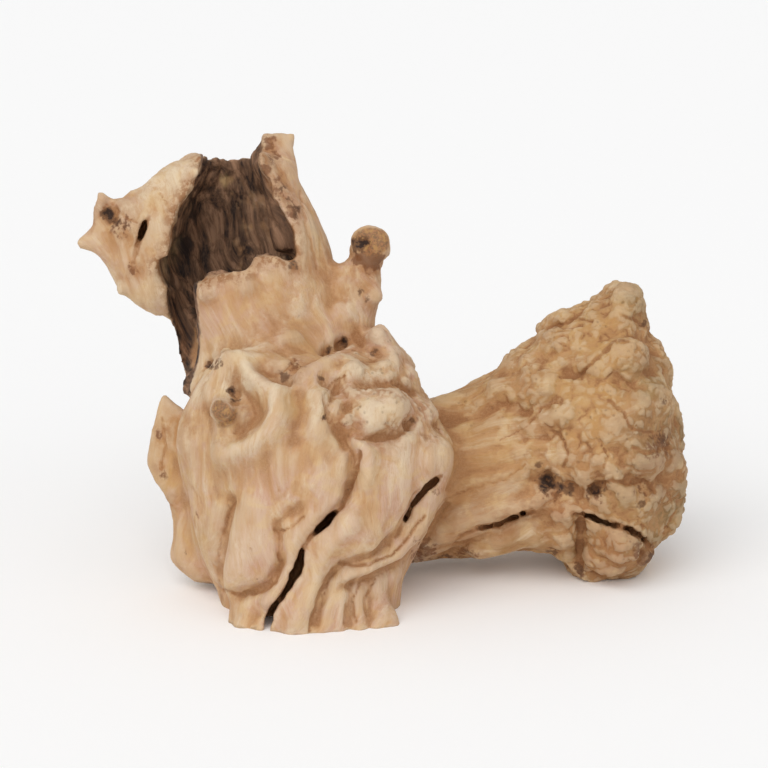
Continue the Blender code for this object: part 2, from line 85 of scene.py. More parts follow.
# Limbs: the way each one runs, then rings of (right, up, back, half width, half depth). Rings lie
# across the way, and a limb that runs back has a half height in place of its half depth.
LIMBS = {
    "bole": ("up", [
        (-37, -142, -15, 42, 42), (-37, -124, -15, 43, 43), (-37, -108, -14, 45, 45),
        (-38, -93, -13, 50, 47), (-38, -78, -13, 56, 50), (-36, -58, -12, 62, 52),
        (-35, -38, -12, 67, 55), (-36, -18, -12, 65, 54), (-38, -4, -12, 57, 49),
        (-38, 6, -11, 48, 41), (-38, 13, -10, 32, 30), (-36, 17, -9, 12, 14),
    ]),
    "foot_front": ("up", [
        (-35, -145, -45, 45, 12), (-35, -124, -44, 45, 12), (-36, -112, -40, 42, 12),
        (-37, -100, -36, 38, 12),
    ]),
    "brow": ("up", [
        (-68, -38, -34, 20, 20), (-71, -22, -34, 20, 20), (-75, -8, -34, 17, 17),
        (-76, 0, -35, 12, 12), (-76, 6, -36, 7, 7), (-75, 10, -36, 2.5, 3),
    ]),
    "left_fin": ("up", [
        (-88, -99, 4, 8, 8), (-91, -88, 4, 16, 11), (-90, -76, 4, 16, 13), (-91, -60, 4, 17, 12),
        (-99, -42, 4, 20, 11), (-104, -26, 4, 13.5, 9), (-108, -15, 3, 7.5, 6), (-110, -7, 3, 4, 3),
        (-111, -2, 2, 1.5, 1.5),
    ]),
    "shoulder": ("up", [
        (-2, 32, -12, 2, 2), (-2, 27, -13, 5, 6), (-2, 22, -14, 9, 11), (0, 14, -14, 13, 17),
        (2, 4, -14, 16, 22), (4, -7, -14, 17, 25), (8, -15, -14, 18.5, 27), (12, -24, -14, 20, 29),
        (15, -34, -14, 20, 31), (14, -44, -14, 20, 32), (9, -58, -12, 19, 32),
        (3, -78, -10, 16, 26), (-4, -100, -8, 12, 20),
    ]),
    "hollow_limb": ("up", [
        (-42, -20, 4, 44, 34), (-50, 0, 6, 50, 36), (-53, 12, 8, 50, 37), (-61, 32, 11, 46, 38),
        (-70, 52, 13, 47, 39), (-75, 72, 15, 48, 39), (-79, 92, 17, 42, 37), (-80, 102, 18, 37, 36),
        (-77, 109, 18, 29, 34), (-73, 115, 18, 20, 32),
    ]),
    "lobe": ("right", [
        (-80, 76, 16, 28, 20), (-95, 74, 9, 36, 24), (-108, 71, 4, 37, 21), (-119, 69, 2, 33, 17),
        (-129, 69, 1, 26, 13), (-137, 73, 1, 17, 9), (-145, 72, 1, 7, 6), (-154, 70, 0, 3, 3),
    ]),
    "lobe_point": ("up", [
        (-136, 80, 1, 9, 7), (-140, 89, -1, 6, 5), (-143, 98, -2, 2, 2),
    ]),
    "knot_stub": ("up", [
        (-24, 16, 4, 18, 20), (-21, 32, 4, 15, 17), (-15.5, 46, 4, 15, 13), (-12, 56, 4, 12, 11),
        (-9, 63, 5, 9.5, 9), (-7, 70, 6, 10, 9), (-6, 77, 6, 7, 6),
    ]),
    "knot_end": ("back", [
        (-8, 66, 8, 8.5, 8), (-7, 68.5, 0, 10, 9.5), (-6, 70, -5, 11, 10.5),
        (-6, 70.5, -9, 10.5, 10), (-6, 70.5, -11.5, 8.5, 8),
    ]),
    "burl_limb": ("right", [
        (-30, -52, 12, 34, 30), (8, -50, 22, 40, 32), (26, -47.5, 25, 41.5, 34),
        (44, -43, 26, 44, 37), (63, -35, 26, 49, 42), (80, -26.5, 26, 58.5, 47),
        (98, -25.5, 26, 67.5, 51), (110, -24.5, 26, 72.5, 52), (120, -23.5, 26, 74.5, 50),
        (127, -28, 26, 69, 46), (135, -31, 26, 55, 40), (142, -35, 26, 41, 31),
        (147.5, -41, 26, 27, 20), (151, -47, 26, 12, 10),
    ]),
    "burl_foot": ("up", [
        (100, -99, 22, 8, 12), (100, -92, 22, 9.5, 16), (103, -80, 23, 13, 24),
        (110, -62, 24, 16, 26),
    ]),
    "twig_stub": ("back", [
        (-78, -14, -34, 9, 9), (-80, -13, -48, 7.5, 7.5), (-81, -13, -58, 6.5, 6.5),
        (-81, -13, -63, 5.8, 5.8),
    ]),
}

# The spike of wall that stands above the broken end
HORN = ("up", [
    (-46, 66, 14, 9, 10), (-48, 86, 13, 10, 12), (-52, 100, 11, 9.5, 14), (-54.5, 108, 12, 11, 13),
    (-55, 114, 15, 10.5, 9), (-53.5, 120, 17, 9.5, 5.5), (-52.5, 126, 18, 9, 4),
])

# The hollow: a cavity that leaves a wall all round, and a gouge down the limb's left side
HOLLOW = {
    "cavity": ("up", [
        (-66, 20, 10, 10, 8), (-68, 30, 11, 24, 20), (-72, 46, 12, 33, 27), (-78, 62, 13, 34, 29),
        (-77, 76, 14, 32, 30), (-77, 90, 15, 26, 29), (-76, 102, 16, 19, 27),
        (-76, 112, 17, 15, 25), (-76, 130, 18, 13, 22),
    ]),
    "gouge": ("up", [
        (-100, -6, -4, 3, 6), (-100, 6, -6, 6, 18), (-99, 18, -6, 7, 22), (-99, 32, -4, 7.5, 24),
        (-100, 44, -2, 8, 26), (-98, 56, 0, 9, 24),
    ]),
}

# Where the limb's front wall is gone: an outline of (right, up), and how far back it reaches
MOUTH = [
    (-90, 124), (-62, 124), (-62, 108), (-57, 100), (-52, 88), (-47, 78), (-45, 61), (-49, 63),
    (-64, 64), (-69, 57), (-80, 54), (-91, 51), (-95, 47), (-98, 44), (-103, 41), (-108, 49),
    (-114, 58), (-107, 69), (-105, 80), (-102, 90), (-97, 99), (-91, 108),
]
MOUTH_BACK = 8

# The torn edge: how close its points are, how long its teeth are and how far they stick out
TEAR_STEP = 1.5
TEAR_SIZE = 4.0
TEAR = 2.4

# Clefts: how far back each reaches, then a line of (right, up, half width) in the front view
CLEFTS = {
    "long_cleft": (-34, [
        (-20, -60.5, 0.6), (-25, -65, 1.9), (-31, -71, 2.3), (-36, -76, 1.5), (-40, -81, 1.2),
        (-41.5, -86, 2.1), (-43, -92, 3.2), (-46, -98, 2.6), (-50, -104.5, 1.8), (-54, -110, 2),
        (-57, -115, 2.6), (-58.5, -122, 2.2), (-59.5, -131, 2), (-60, -145, 2.2),
    ]),
    "side_cleft": (-26, [
        (28, -46, 0.6), (25, -49, 2.6), (20.5, -53, 2.4), (16, -58, 1.8), (13, -63, 1.9),
        (10, -69, 1.7), (7, -75, 1.4), (3, -80, 0.6),
    ]),
    "limb_crease": (6, [
        (38, -75.5, 0.6), (48, -72, 1.8), (58, -70, 1.6), (67, -65.5, 1.9), (75, -63.5, 0.8),
    ]),
    "burl_cleft": (3, [
        (94, -64.5, 0.8), (103, -66, 2.2), (112, -70, 1.8), (123, -73, 2.2), (130, -78, 2.1),
        (134, -84, 0.8),
    ]),
    "lobe_slit": (4, [
        (-117.5, 83.5, 0.6), (-119.5, 80, 2.1), (-121, 76, 2.2), (-122.5, 71, 1.8),
        (-124.5, 65, 1.7), (-125.5, 61, 0.6),
    ]),
}
# A cleft's back width as a share of its front's, and how unevenly its sides are chipped
CLEFT_TAPER = 0.7
CLEFT_CHIP = 1.1
# Where all the cutters begin, in front of the wood
CUTTER_FRONT = -95

# Folds and creases of the grain on the front: height, half width, then (right, up) points
STROKES = [
    (4.0, 6.5, [(-76, 10), (-86, 5), (-95, -4), (-101, -16), (-102, -30)]),
    (7.0, 6.5, [(-75, 9), (-65, 2), (-55, -5), (-52, -14), (-57, -24), (-67, -31), (-79, -35)]),
    (-5.5, 4.5, [(-73, 1), (-66, -8), (-64, -16), (-71, -24)]),
    (-3.0, 5.0, [(-91, -14), (-90, -34), (-84, -56)]),
    (4.0, 5.0, [(-33, -4), (-30, -14), (-34, -26)]),
    (-4.0, 4.5, [(-43, -4), (-42, -14), (-46, -28)]),
    (3.5, 10.0, [(-30, -50), (-27, -60)]),
    (-6.0, 2.6, [(-24, 0), (-28, -12), (-24, -22), (-15, -36), (-15, -47), (-19, -58), (-30, -70)]),
    (3.0, 4.0, [(-20, -18), (-9, -34), (-9, -48)]),
    (4.5, 8.5, [(-67, -62), (-69, -83), (-76, -99)]),
    (-5.0, 3.2, [(-77, -58), (-81, -75), (-83, -92), (-81, -108), (-80, -124)]),
    (-5.0, 2.6, [(-53, -74), (-51, -89), (-58, -100), (-72, -106)]),
    (4.0, 3.6, [(-36, -67), (-47, -82), (-48, -96), (-58, -109)]),
    (-3.0, 2.6, [(-54, -70), (-43, -62)]),
    (4.0, 5.0, [(-17, -68), (-30, -84), (-37, -103), (-45, -122)]),
    (-5.0, 2.4, [(18, -56), (8, -75), (-4, -85), (-19, -90), (-28, -98), (-34, -120)]),
    (3.5, 3.6, [(27, -56), (15, -72), (6, -85), (-10, -92), (-20, -96)]),
    (-4.5, 2.4, [(31, -62), (21, -75), (11, -88), (-6, -97), (-20, -102)]),
    (3.5, 12.0, [(6, -45), (-4, -62), (-14, -75)]),
    (-3.5, 2.0, [(-15, -100), (-17, -124)]),
    (-3.5, 2.0, [(-6, -100), (-7, -124)]),
    (-6.5, 3.4, [(-61, 6), (-54, 3), (-47, 3)]),
    (5.5, 6.0, [(-64, 13), (-56, 18), (-47, 22)]),
    (-3.5, 2.6, [(-46, 8), (-36, 12), (-27, 17), (-19, 21)]),
    (4.0, 3.2, [(-44, 4), (-34, 9), (-25, 13), (-16, 16)]),
    (-3.0, 2.4, [(-34, -2), (-27, 3), (-18, 4)]),
    (-4.5, 3.2, [(-15, -24), (-6, -27), (6, -25), (13, -20)]),
    (-4.5, 3.0, [(-21, 0), (-18, -9), (-22, -18), (-17, -26)]),
    (-3.5, 2.8, [(-14, 1), (-4, 0), (8, 0), (16, -4)]),
    (3.0, 6.0, [(24, -13), (43, -8), (60, 2)]),
    (-3.0, 3.0, [(28, -20), (48, -15), (58, -8)]),
    (4.5, 6.0, [(20, -78), (43, -70), (63, -63), (78, -58)]),
    (-5.0, 3.0, [(30, -88), (43, -80), (58, -73), (68, -68), (78, -65)]),
    (3.5, 6.0, [(48, -83), (73, -75), (90, -78)]),
    (-5.5, 2.6, [(97, -66), (97.5, -76), (96, -88)]),
    (-4.5, 4.0, [(76, -48), (88, -53), (96, -56), (108, -53)]),
    (-3.5, 3.0, [(90, 8), (104, 2), (116, 3), (128, -1)]),
    (-3.5, 3.0, [(108, 24), (120, 27), (131, 22)]),
    (-3.0, 3.0, [(60, -8), (72, -14), (80, -24)]),
    (-3.5, 3.0, [(120, -48), (134, -50), (146, -46)]),
]

# The same on the back, where (right, up) is still as seen from the front
BACK_STROKES = [
    (4.5, 6.0, [(-92, 100), (-86, 70), (-78, 40), (-72, 10), (-80, -25), (-76, -60), (-66, -95)]),
    (-5.0, 3.5, [(-82, 112), (-76, 84), (-68, 52), (-60, 20), (-64, -12), (-60, -48)]),
    (4.0, 5.0, [(-68, 108), (-62, 76), (-52, 40), (-46, 8), (-50, -20)]),
    (-4.5, 3.0, [(-50, 84), (-44, 50), (-34, 20), (-34, -6), (-44, -30), (-42, -70)]),
    (-6.0, 3.0, [(-58, 8), (-40, -6), (-16, -10), (6, -22)]),
    (4.5, 6.0, [(-30, -14), (-4, -22), (24, -24), (50, -14), (72, 2)]),
    (-5.0, 3.0, [(-20, -36), (10, -36), (40, -32), (66, -22), (84, -10)]),
    (4.0, 6.0, [(-34, -56), (0, -52), (34, -50), (66, -44), (90, -34)]),
    (-5.0, 3.5, [(-26, -78), (6, -70), (36, -66), (66, -62), (92, -60)]),
    (-6.0, 4.0, [(96, -44), (108, -40), (122, -46), (132, -58)]),
    (-5.0, 3.0, [(86, 12), (100, 6), (112, 10), (126, 2)]),
    (5.0, 12.0, [(112, 26), (118, 20)]),
    (4.5, 12.0, [(104, -18), (110, -22)]),
]

# Lumps and pits on the front: (right, up, radius, height)
DABS = [
    (120, 16, 15, 6.5), (106, 10, 10, 4.0), (134, -8, 13, 5.0), (120, -22, 14, 5.0),
    (90, -15, 8, 6.0), (69, 9, 11, 5.0), (58, -4, 8, 3.5), (80, -2, 8, 3.5), (92, 22, 10, 4.5),
    (121, 42, 12, 6.0), (130, -36, 11, 4.5), (108, -38, 9, 3.5), (140, 10, 7, 3.0),
    (106, 30, 8, 3.5), (115, -86, 16, 5.0), (99, -42, 10, 3.0), (86, -36, 9, 2.5),
    (82, -49, 6, -8.0), (105.5, -54, 5, -7.0), (150, -20, 7, -4.0), (88, -68, 8, 2.5),
    (-138, 85, 7, -6.0), (-132, 47, 5, 5.0), (-11, 70, 5, -6.0), (-75.5, -3, 3, -5.0),
    (-74.3, -8, 3.2, -6.0), (93, -53, 4, -4.0), (85, -62, 12, -3.5), (-86, 9, 4.5, -6.0),
    (-3, 24, 5, 4.0), (3, 8, 8, 3.5), (-16, 9, 8, 4.0), (0, -11, 15, 7.0), (-51, 3, 5, -4.0),
    (-5, 17, 4, -4.5), (-20, 21, 4, -4.5), (-28, 17, 4, -4.0), (14, -19, 4, -4.5),
    (-30, -17, 4, -4.5), (-30, 3, 4, -4.0), (27, -36, 12, 4.0), (-96, 32, 5, 3.0),
    (-88, 46, 6, 3.0), (-70, 50, 8, 3.0), (-20, 36, 8, 3.0), (-5, 44, 5, 3.0),
]

# The grain: its way in the front view, then levels of (wave length across, wave length along,
# height). The third level, here and below, and the rotten wood's fibres aren't in the CAD part.
ROOT_GRAIN = ((0.10, 0.0, 1.0), [(20.0, 70.0, 2.8), (8.0, 40.0, 1.2), (3.4, 26.0, 0.5)])
LIMB_GRAIN = ((-0.35, 0.05, 0.93), [(15.0, 90.0, 3.0), (6.5, 50.0, 1.4), (3.0, 30.0, 0.6)])
BURL_GRAIN = ((1.0, 0.0, 0.15), [(15.0, 80.0, 4.2), (7.0, 40.0, 1.8), (3.2, 24.0, 0.65)])
FIBRES = ((-0.25, 0.05, 1.0), [(8.0, 44.0, 2.6), (3.6, 30.0, 1.0)])
# The power that rounds its ridges, and the level they rise and fall from
RIDGE_POWER = 0.75
RIDGE_LEVEL = 0.35
# The swirls that bend it: (distance apart, reach, seed)
SWIRLS = [(55.0, 16.0, 1), (20.0, 4.0, 5)]
# How much longer its painted streaks are than wide
GRAIN_STRETCH = 11.0

# Knobs of the burl and of the gnarled collar: levels of (distance apart, height)
KNOBS = [(25.0, 6.5), (12.0, 2.4), (5.5, 1.5)]
GNARL = [(14.0, 3.6), (7.0, 1.5), (3.6, 0.8)]
# How far they are moved, as a share of their distance, where the creases between them end, the
# level they rise from, their least and greatest height, and how much of the grain they wipe out
KNOB_SWIRL = 0.3
KNOB_EDGE = (-0.15, 0.55)
KNOB_LEVEL = 0.6
KNOB_SHARES = (0.25, 1.4)
BURL_WIPES = 0.75
COLLAR_WIPES = 0.5

# How squarely a face looks at the viewer before it takes any of a stroke or dab, and all of it.
# Stains, painted light and shade, and seams reach further round.
FACING = (0.05, 0.45)
MARK_FACING = (-0.1, 0.45)

# The rotten wood ends between these shares of the hollow's width, moved by up to ROT_UNEVEN by
# noise of two sizes: (distance apart, seed)
ROT_EDGE = (1.03, 1.12)
ROT_NOISE = [(7.0, 71), (2.5, 72)]
ROT_UNEVEN = 0.05

# Where the stain at the mouth's torn edge starts and is full: minus the distance from it, and
# minus the distance back
RIM = (-9.0, -1.0)
RIM_DEPTH = (-14.0, -2.0)

# Unevenness of painted edges and seams: (distance apart, reach, first seed)
UNEVEN = [(11.0, 1.0, 61), (3.5, 0.6, 63)]

# How many times the surface is averaged, to find fine creases, ridges and broad hollows for painted
# shade and highlight
NEAR_ROUNDS = 8
FAR_ROUNDS = 70

# Where a stain or painted patch starts and is full: minus the share of its radius. A crease this
# deep shows in full.
SPOT_EDGE = (-1.3, -0.3)
FULL_CRACK = 7.0

# Thin seams in the visible wood: half width, depth, then (right, up) points
SEAMS = [
    (0.9, 1.3, [(-12, -34), (-12.5, -38), (-14, -43), (-16.6, -50), (-19.3, -57), (-22, -62)]),
    (0.7, 0.9, [(-41, -66), (-46, -71), (-52, -74), (-55, -73)]),
    (0.9, 1.1, [(-53, -83), (-51.4, -90), (-54, -99), (-61, -104), (-72, -105), (-80, -103)]),
    (0.7, 0.9, [(-74, -59), (-77.5, -65), (-78, -69), (-80, -76)]),
    (0.8, 1.2, [(-22, -90), (-15, -90.5), (-8, -90), (4, -86), (13, -76), (21, -66)]),
    (0.7, 1.0, [(-25, -94), (-32, -104), (-36, -117), (-37, -124)]),
    (0.7, 1.0, [(-12, -100), (-15, -108), (-14, -119)]),
    (0.6, 0.9, [(-5, -98), (-9, -107), (-8, -116)]),
    (0.6, 0.8, [(-19, -110), (-20, -121)]),
    (0.7, 0.9, [(-20, 4), (-26, 1), (-30, -6), (-29, -14), (-27, -20)]),
    (0.7, 0.9, [(-14, -27), (-4, -28), (6, -26), (12, -22)]),
    (0.7, 0.9, [(-44, 12), (-52, 5), (-58, 4)]),
    (0.6, 0.8, [(-30, 14), (-22, 18), (-14, 17), (-6, 13)]),
    (0.8, 1.2, [(36, -79), (41, -74.5), (48, -71), (56, -69), (66, -66.5), (74, -63)]),
    (0.8, 1.2, [(96, -65), (105, -67), (113, -69), (125, -73.5), (134, -82), (138, -86)]),
    (0.7, 1.2, [(97, -68), (96, -76), (97, -84)]),
    (0.7, 1.0, [(44, 14), (56, 16), (66, 22), (74, 26)]),
    (0.9, 1.3, [(82, 28), (90, 30), (97, 33), (104, 31)]),
    (0.9, 1.3, [(88, 4), (96, 3), (101, 8), (108, 14), (116, 22), (122, 22)]),
    (0.9, 1.3, [(118, 34), (126, 32), (133, 27)]),
    (0.9, 1.3, [(112, -8), (120, -14), (124, -22), (134, -24)]),
    (0.9, 1.3, [(124, -32), (132, -34), (143, -32)]),
    (0.8, 1.2, [(80, -20), (88, -26), (92, -34), (90, -42)]),
    (0.9, 1.3, [(104, -50), (114, -48), (122, -50), (130, -48), (136, -54)]),
    (0.7, 1.0, [(108, -28), (112, -36), (110, -42)]),
    (0.6, 0.8, [(58, -28), (70, -22), (78, -12)]),
    (0.6, 0.8, [(30, -58), (44, -52), (60, -48), (70, -40)]),
    (0.6, 0.8, [(-134, 88), (-128, 82), (-122, 80)]),
    (0.6, 0.8, [(-112, 96), (-106, 86), (-104, 76)]),
    (0.6, 0.9, [(-111, -16), (-109, -30), (-111, -42)]),
    (0.6, 0.8, [(-42, 96), (-40, 84), (-36, 70), (-34, 58)]),
]

# Stains on the front, with some painted light and shade among them: kind, then (right, up, radius,
# strength)
STAINS_AND_PAINTED_LIGHT = {
    # cream: pale wood, partly painted highlight where the light falls, most of all on the upper
    # left
    "cream": [
        (-74, 6, 20, 1.0), (-52, -6, 14, 0.9), (-34, -8, 12, 0.8), (-94, 2, 10, 0.6),
        (-66, -26, 18, 0.5), (-104, 102, 18, 1.0), (-90, 106, 12, 0.9), (-108, 78, 16, 0.7),
        (-110, 50, 16, 0.5), (-10, 6, 12, 0.7), (-2, -16, 12, 0.8), (8, -34, 16, 0.5),
        (-96, -50, 10, 0.4), (-72, -84, 12, 0.4), (62, -60, 14, 0.6), (45, -68, 12, 0.5),
        (-38, 40, 12, 0.4), (-30, -100, 14, 0.4), (92, -14, 7, 0.6),
    ],
    "pink": [
        (4, -24, 26, 0.9), (14, -52, 24, 1.0), (-8, -70, 24, 0.9), (-36, -112, 34, 0.7),
        (-46, -52, 22, 0.6), (-20, 26, 16, 0.6), (-86, 34, 14, 0.5), (-4, 30, 14, 0.6),
        (-60, -96, 20, 0.5), (68, 4, 14, 0.7), (-24, -6, 18, 0.5), (-60, 20, 16, 0.4),
        (82, -62, 14, 0.4), (-56, 84, 16, 0.8), (80, 30, 16, 0.7),
    ],
    "rust": [
        (-30, 60, 10, 0.5), (-52, 92, 9, 0.8), (-48, 84, 8, 0.9), (-8, 62, 10, 1.0),
        (-16, 44, 9, 0.5), (-10, 18, 10, 0.6), (-74, 58, 10, 0.5), (-90, 44, 8, 0.5),
        (-54, 26, 14, 0.4), (-104, -24, 14, 0.5), (-16, -6, 10, 0.6), (-20, -20, 8, 0.6),
        (-44, 8, 9, 0.8), (-128, 76, 12, 0.6), (78, -56, 16, 0.7), (100, -58, 14, 0.7),
        (106, -76, 24, 0.5), (-58, 6, 8, 0.7), (30, -86, 20, 0.5), (-80, 14, 7, 0.4),
        (-9, 61, 8, 1.0), (-12, 59, 6, 0.9), (-136, 84, 12, 0.9), (-128, 78, 10, 0.5),
        (-69, -14, 8, 0.7), (86, -60, 14, 0.9), (-52, 98, 8, 0.8), (-50, 110, 7, 0.5),
        (-46, 74, 7, 0.6), (-58, 60, 8, 0.5), (4, -1, 9, 0.9), (-18, -22, 9, 0.9),
        (2, -27, 10, 0.7), (15, -14, 8, 0.7), (-12, 15, 9, 0.6), (-126, 56, 6, 0.9),
        (40, -78, 12, 0.7), (60, -70, 10, 0.7), (-98, 38, 8, 0.8), (-94, 48, 7, 0.8),
        # (44, -56) is painted shadow of the bole on the limb behind it
        (44, -56, 26, 0.45), (113, -86, 22, 0.8), (140, -44, 18, 0.7), (-7, 60, 8, 1.0),
        (-111, -24, 6, 0.9), (-112, -42, 5, 0.8), (-106, -60, 6, 0.8), (-58, 118, 7, 0.8),
        (-52, 104, 7, 0.8), (-60, 108, 6, 0.7), (-10, 50, 10, 0.6), (128, -20, 20, 0.4),
        (100, -40, 16, 0.4), (134, 14, 12, 0.4),
    ],
    "gold": [
        (-44, -11, 9, 0.9), (-112, -44, 16, 1.0), (-110, -24, 15, 1.0), (-100, -78, 14, 0.6),
        (-104, -90, 10, 0.6), (-40, 20, 14, 0.6), (-56, 12, 10, 0.5), (-58, 46, 16, 0.4),
        (-36, 92, 10, 0.4), (-88, -74, 12, 0.5), (-50, -36, 12, 0.4), (-24, -30, 12, 0.4),
        (-110, 92, 12, 0.3), (-76, 10, 6, 0.4), (104, -12, 24, 0.8), (112, 20, 18, 0.8),
        (96, 24, 14, 0.6), (112, -76, 18, 0.8), (94, 2, 14, 0.7), (-122, 68, 18, 0.6),
        (-134, 76, 10, 0.6), (-79.2, 102.8, 2.8, 1.0), (-30, 46, 14, 0.5), (-108, -66, 10, 0.7),
        (-84, -40, 12, 0.4), (-70, 40, 10, 0.5), (-20, -46, 10, 0.4), (50, -30, 14, 0.5),
    ],
    "burnt": [
        (-7.5, 61, 6, 1.3), (-2.5, 61.5, 5, 1.2), (-12, 62, 5, 1.2), (-8, 57, 4, 0.7),
        (-60, 106, 4.5, 0.9), (-58, 120, 4.5, 0.9), (-55, 115, 4, 0.8), (-60, 101, 4.5, 0.9),
        (-54, 97, 4, 0.8), (-52, 103, 3, 0.7), (-57, 112, 4, 0.7), (-47, 87, 4, 0.8),
        (-51, 94, 4, 0.7), (-132, 80, 7, 0.7), (-20, -20, 3, 0.6), (26, -53, 4, 0.5),
        (84, -54, 9, 0.6), (106, -57, 6, 0.7), (20, -85, 9, 0.8), (40, -88, 10, 0.6),
        (134, 30, 6, 0.8), (137, -30, 8, 0.8), (130, -52, 7, 0.6), (131, -86, 8, 0.9),
        (97, -91, 6, 0.8), (-44, 9, 5, 0.7), (-112, -26, 3, 0.8), (-110, -46, 3, 0.7),
        (-126, 57, 4, 0.9), (-94, -66, 3, 0.5),
    ],
    # dark: near-black spots in pits and holes, partly their own dark and partly painted shade
    "dark": [
        (-138, 84, 4.5, 1.0), (-134, 81, 4, 0.8), (-130, 79, 3, 0.5), (-12, 70, 5.5, 1.0),
        (-76, -3, 2.6, 1.0), (-74.5, -8, 2.6, 0.9), (-51, 3.5, 4.5, 0.6), (-86, 9, 2.8, 1.0),
        (-83, 11, 2.6, 0.6), (-48, 92, 3, 0.5), (-44, 87, 3.4, 0.7), (-50, 99, 2.6, 0.5),
        (-45, 60, 2.6, 0.9), (-46, 66, 2.4, 0.6), (82, -49, 6, 1.0), (88, -52, 4, 0.8),
        (93, -53, 3.6, 0.8), (105.5, -54, 5, 0.9), (110, -52, 3.5, 0.6), (-20, 21, 3, 0.9),
        (-27, 17, 3, 0.8), (-5, 17, 2.6, 0.6), (14, -19, 2.6, 0.7), (-30, -17, 2.6, 0.8),
        (-30, 3, 3, 0.7), (-98, -84, 2.2, 0.6), (-12, 47, 3, 0.6), (-9, 43, 2.4, 0.5),
        (76, -40, 3, 0.5), (138, -28, 4, 0.7), (130, 30, 3, 0.6), (140, -8, 3, 0.5),
        (128, -60, 3, 0.5), (134, -86, 5, 0.7), (96, -92, 4, 0.7), (84, -84, 4, 0.6),
        (30, -88, 5, 0.6),
    ],
    # olive: darker, greener patches towards the burl's right edge and bottom
    "olive": [
        (138, -30, 22, 1.0), (144, -58, 18, 1.0), (126, 40, 12, 0.6), (128, -84, 20, 0.9),
        (132, 4, 16, 0.7), (104, -84, 16, 0.6), (116, -60, 14, 0.4),
    ],
}
# The two sawn twig ends: (right, up, half width, half height). Where their colour starts and is
# full: minus the share of that size, and how squarely a face looks at the viewer
CUT_ENDS = [(-80.7, -14, 7.4, 7.8), (-6.2, 71.4, 10.0, 7.0)]
CUT_EDGE = (-1.12, -0.88)
CUT_FACING = (0.3, 0.7)

# What mark() stores at each vertex for the material: numbers, and places along the grain
MARKS = (
    "limb", "side", "burl", "collar", "rot", "sunk_near", "sunk_far",
    "cream", "pink", "rust", "gold", "burnt", "dark", "olive", "crack", "end", "rim",
)
GRAINS = {"grain_root": ROOT_GRAIN, "grain_side": BURL_GRAIN, "grain_limb": LIMB_GRAIN}

# Odd numbers that scramble a cell's three whole numbers, and the result
SCRAMBLE = (374761393, 668265263, 2246822519)
SCRAMBLE_AGAIN = 2654435761
# What spreads the noise to about -1 to 1, and more than any share or gap that counts
NOISE_GAIN = 1.5
FAR = 9.0

# Linear colours
TAN = (0.53, 0.355, 0.21, 1)
# Pale wood and grain, also painted highlight on ridges and pale patches
CREAM = (0.71, 0.575, 0.40, 1)
PINK = (0.56, 0.345, 0.245, 1)
OCHRE = (0.40, 0.21, 0.07, 1)
# Rust stains, also painted warm shade in the knobs' hollows and the bole's painted shadow
RUST = (0.35, 0.155, 0.062, 1)
# Dark brown of spots and pits, also laid as painted shade in them
UMBER = (0.13, 0.06, 0.028, 1)
BURNT = (0.16, 0.055, 0.018, 1)
# Brown of creases and cracks, also laid as painted shade in them
CREASE = (0.30, 0.135, 0.052, 1)
# Warm amber of the grain, also painted warm shade in hollows and creases
AMBER = (0.48, 0.255, 0.11, 1)
HONEY = (0.61, 0.405, 0.185, 1)
GOLD = (0.49, 0.27, 0.095, 1)
OLIVE = (0.19, 0.115, 0.04, 1)
END_WOOD = (0.17, 0.092, 0.042, 1)
ROT_DARK = (0.022, 0.013, 0.011, 1)
ROT_MIDDLE = (0.135, 0.07, 0.038, 1)
ROT_LIGHT = (0.36, 0.20, 0.115, 1)


def seen(right, up, back):
    """The point at a depth (back) that shows at (right, up) in the front view."""
    nearer = 1 + back / VIEW_DISTANCE
    return Vector((right * nearer, back, up * nearer))


def front_view(points):
    """Where points show in the front view: (right, up)."""
    return points[:, [0, 2]] / (1 + points[:, [1]] / VIEW_DISTANCE)


def smooth_rows(rows, between):
    """Rows on a Catmull-Rom curve through the given ones, (between) steps from each to the next."""
    rows = np.array(rows, float)
    ends = np.vstack([2 * rows[0] - rows[1], rows, 2 * rows[-1] - rows[-2]])
    made = []
    for a, b, c, d in zip(ends, ends[1:], ends[2:], ends[3:]):
        for step in range(between):
            t = step / between
            made.append(
                0.5 * (2 * b + (c - a) * t + (2 * a - 5 * b + 4 * c - d) * t**2
                       + (3 * b - a - 3 * c + d) * t**3)
            )
    return np.array([*made, rows[-1]])


def new_object(name, bm):
    bmesh.ops.recalc_face_normals(bm, faces=bm.faces)
    mesh = bpy.data.meshes.new(name)
    bm.to_mesh(mesh)
    bm.free()
    made = bpy.data.objects.new(name, mesh)
    bpy.context.scene.collection.objects.link(made)
    return made


def closed_tube(name, loops):
    """A closed shape through loops of points, with flat ends."""
    bm = bmesh.new()
    rows = [[bm.verts.new(point) for point in loop] for loop in loops]
    count = len(rows[0])
    for low, high in zip(rows, rows[1:]):
        for side in range(count):
            after = (side + 1) % count
            bm.faces.new((low[side], low[after], high[after], high[side]))
    bm.faces.new(rows[0])
    bm.faces.new(rows[-1])
    return new_object(name, bm)


def limb(name, way, rings):
    """A closed limb through rings of (right, up, back, half width, half depth)."""
    loops = []
    for right, up, back, wide, deep in smooth_rows(rings, ROWS_BETWEEN):
        loop = []
        for side in range(SIDES):
            turn = math.tau * side / SIDES
            out = max(wide, THIN_LIMB) * math.cos(turn)
            over = max(deep, THIN_LIMB) * math.sin(turn)
            if way == "back":
                loop.append(seen(right + out, up + over, back))
                continue
            point = seen(right + out, up, back) if way == "up" else seen(right, up + out, back)
            point.y += over
            loop.append(point)
        loops.append(loop)
    return closed_tube(name, loops)


def chipped(spots, reach):
    """(right, up) points moved unevenly, by up to about (reach)."""
    places = np.insert(spots, 1, 0.0, axis=1) / TEAR_SIZE
    return spots + reach * np.stack([noise(places, 81), noise(places, 82)], axis=-1)


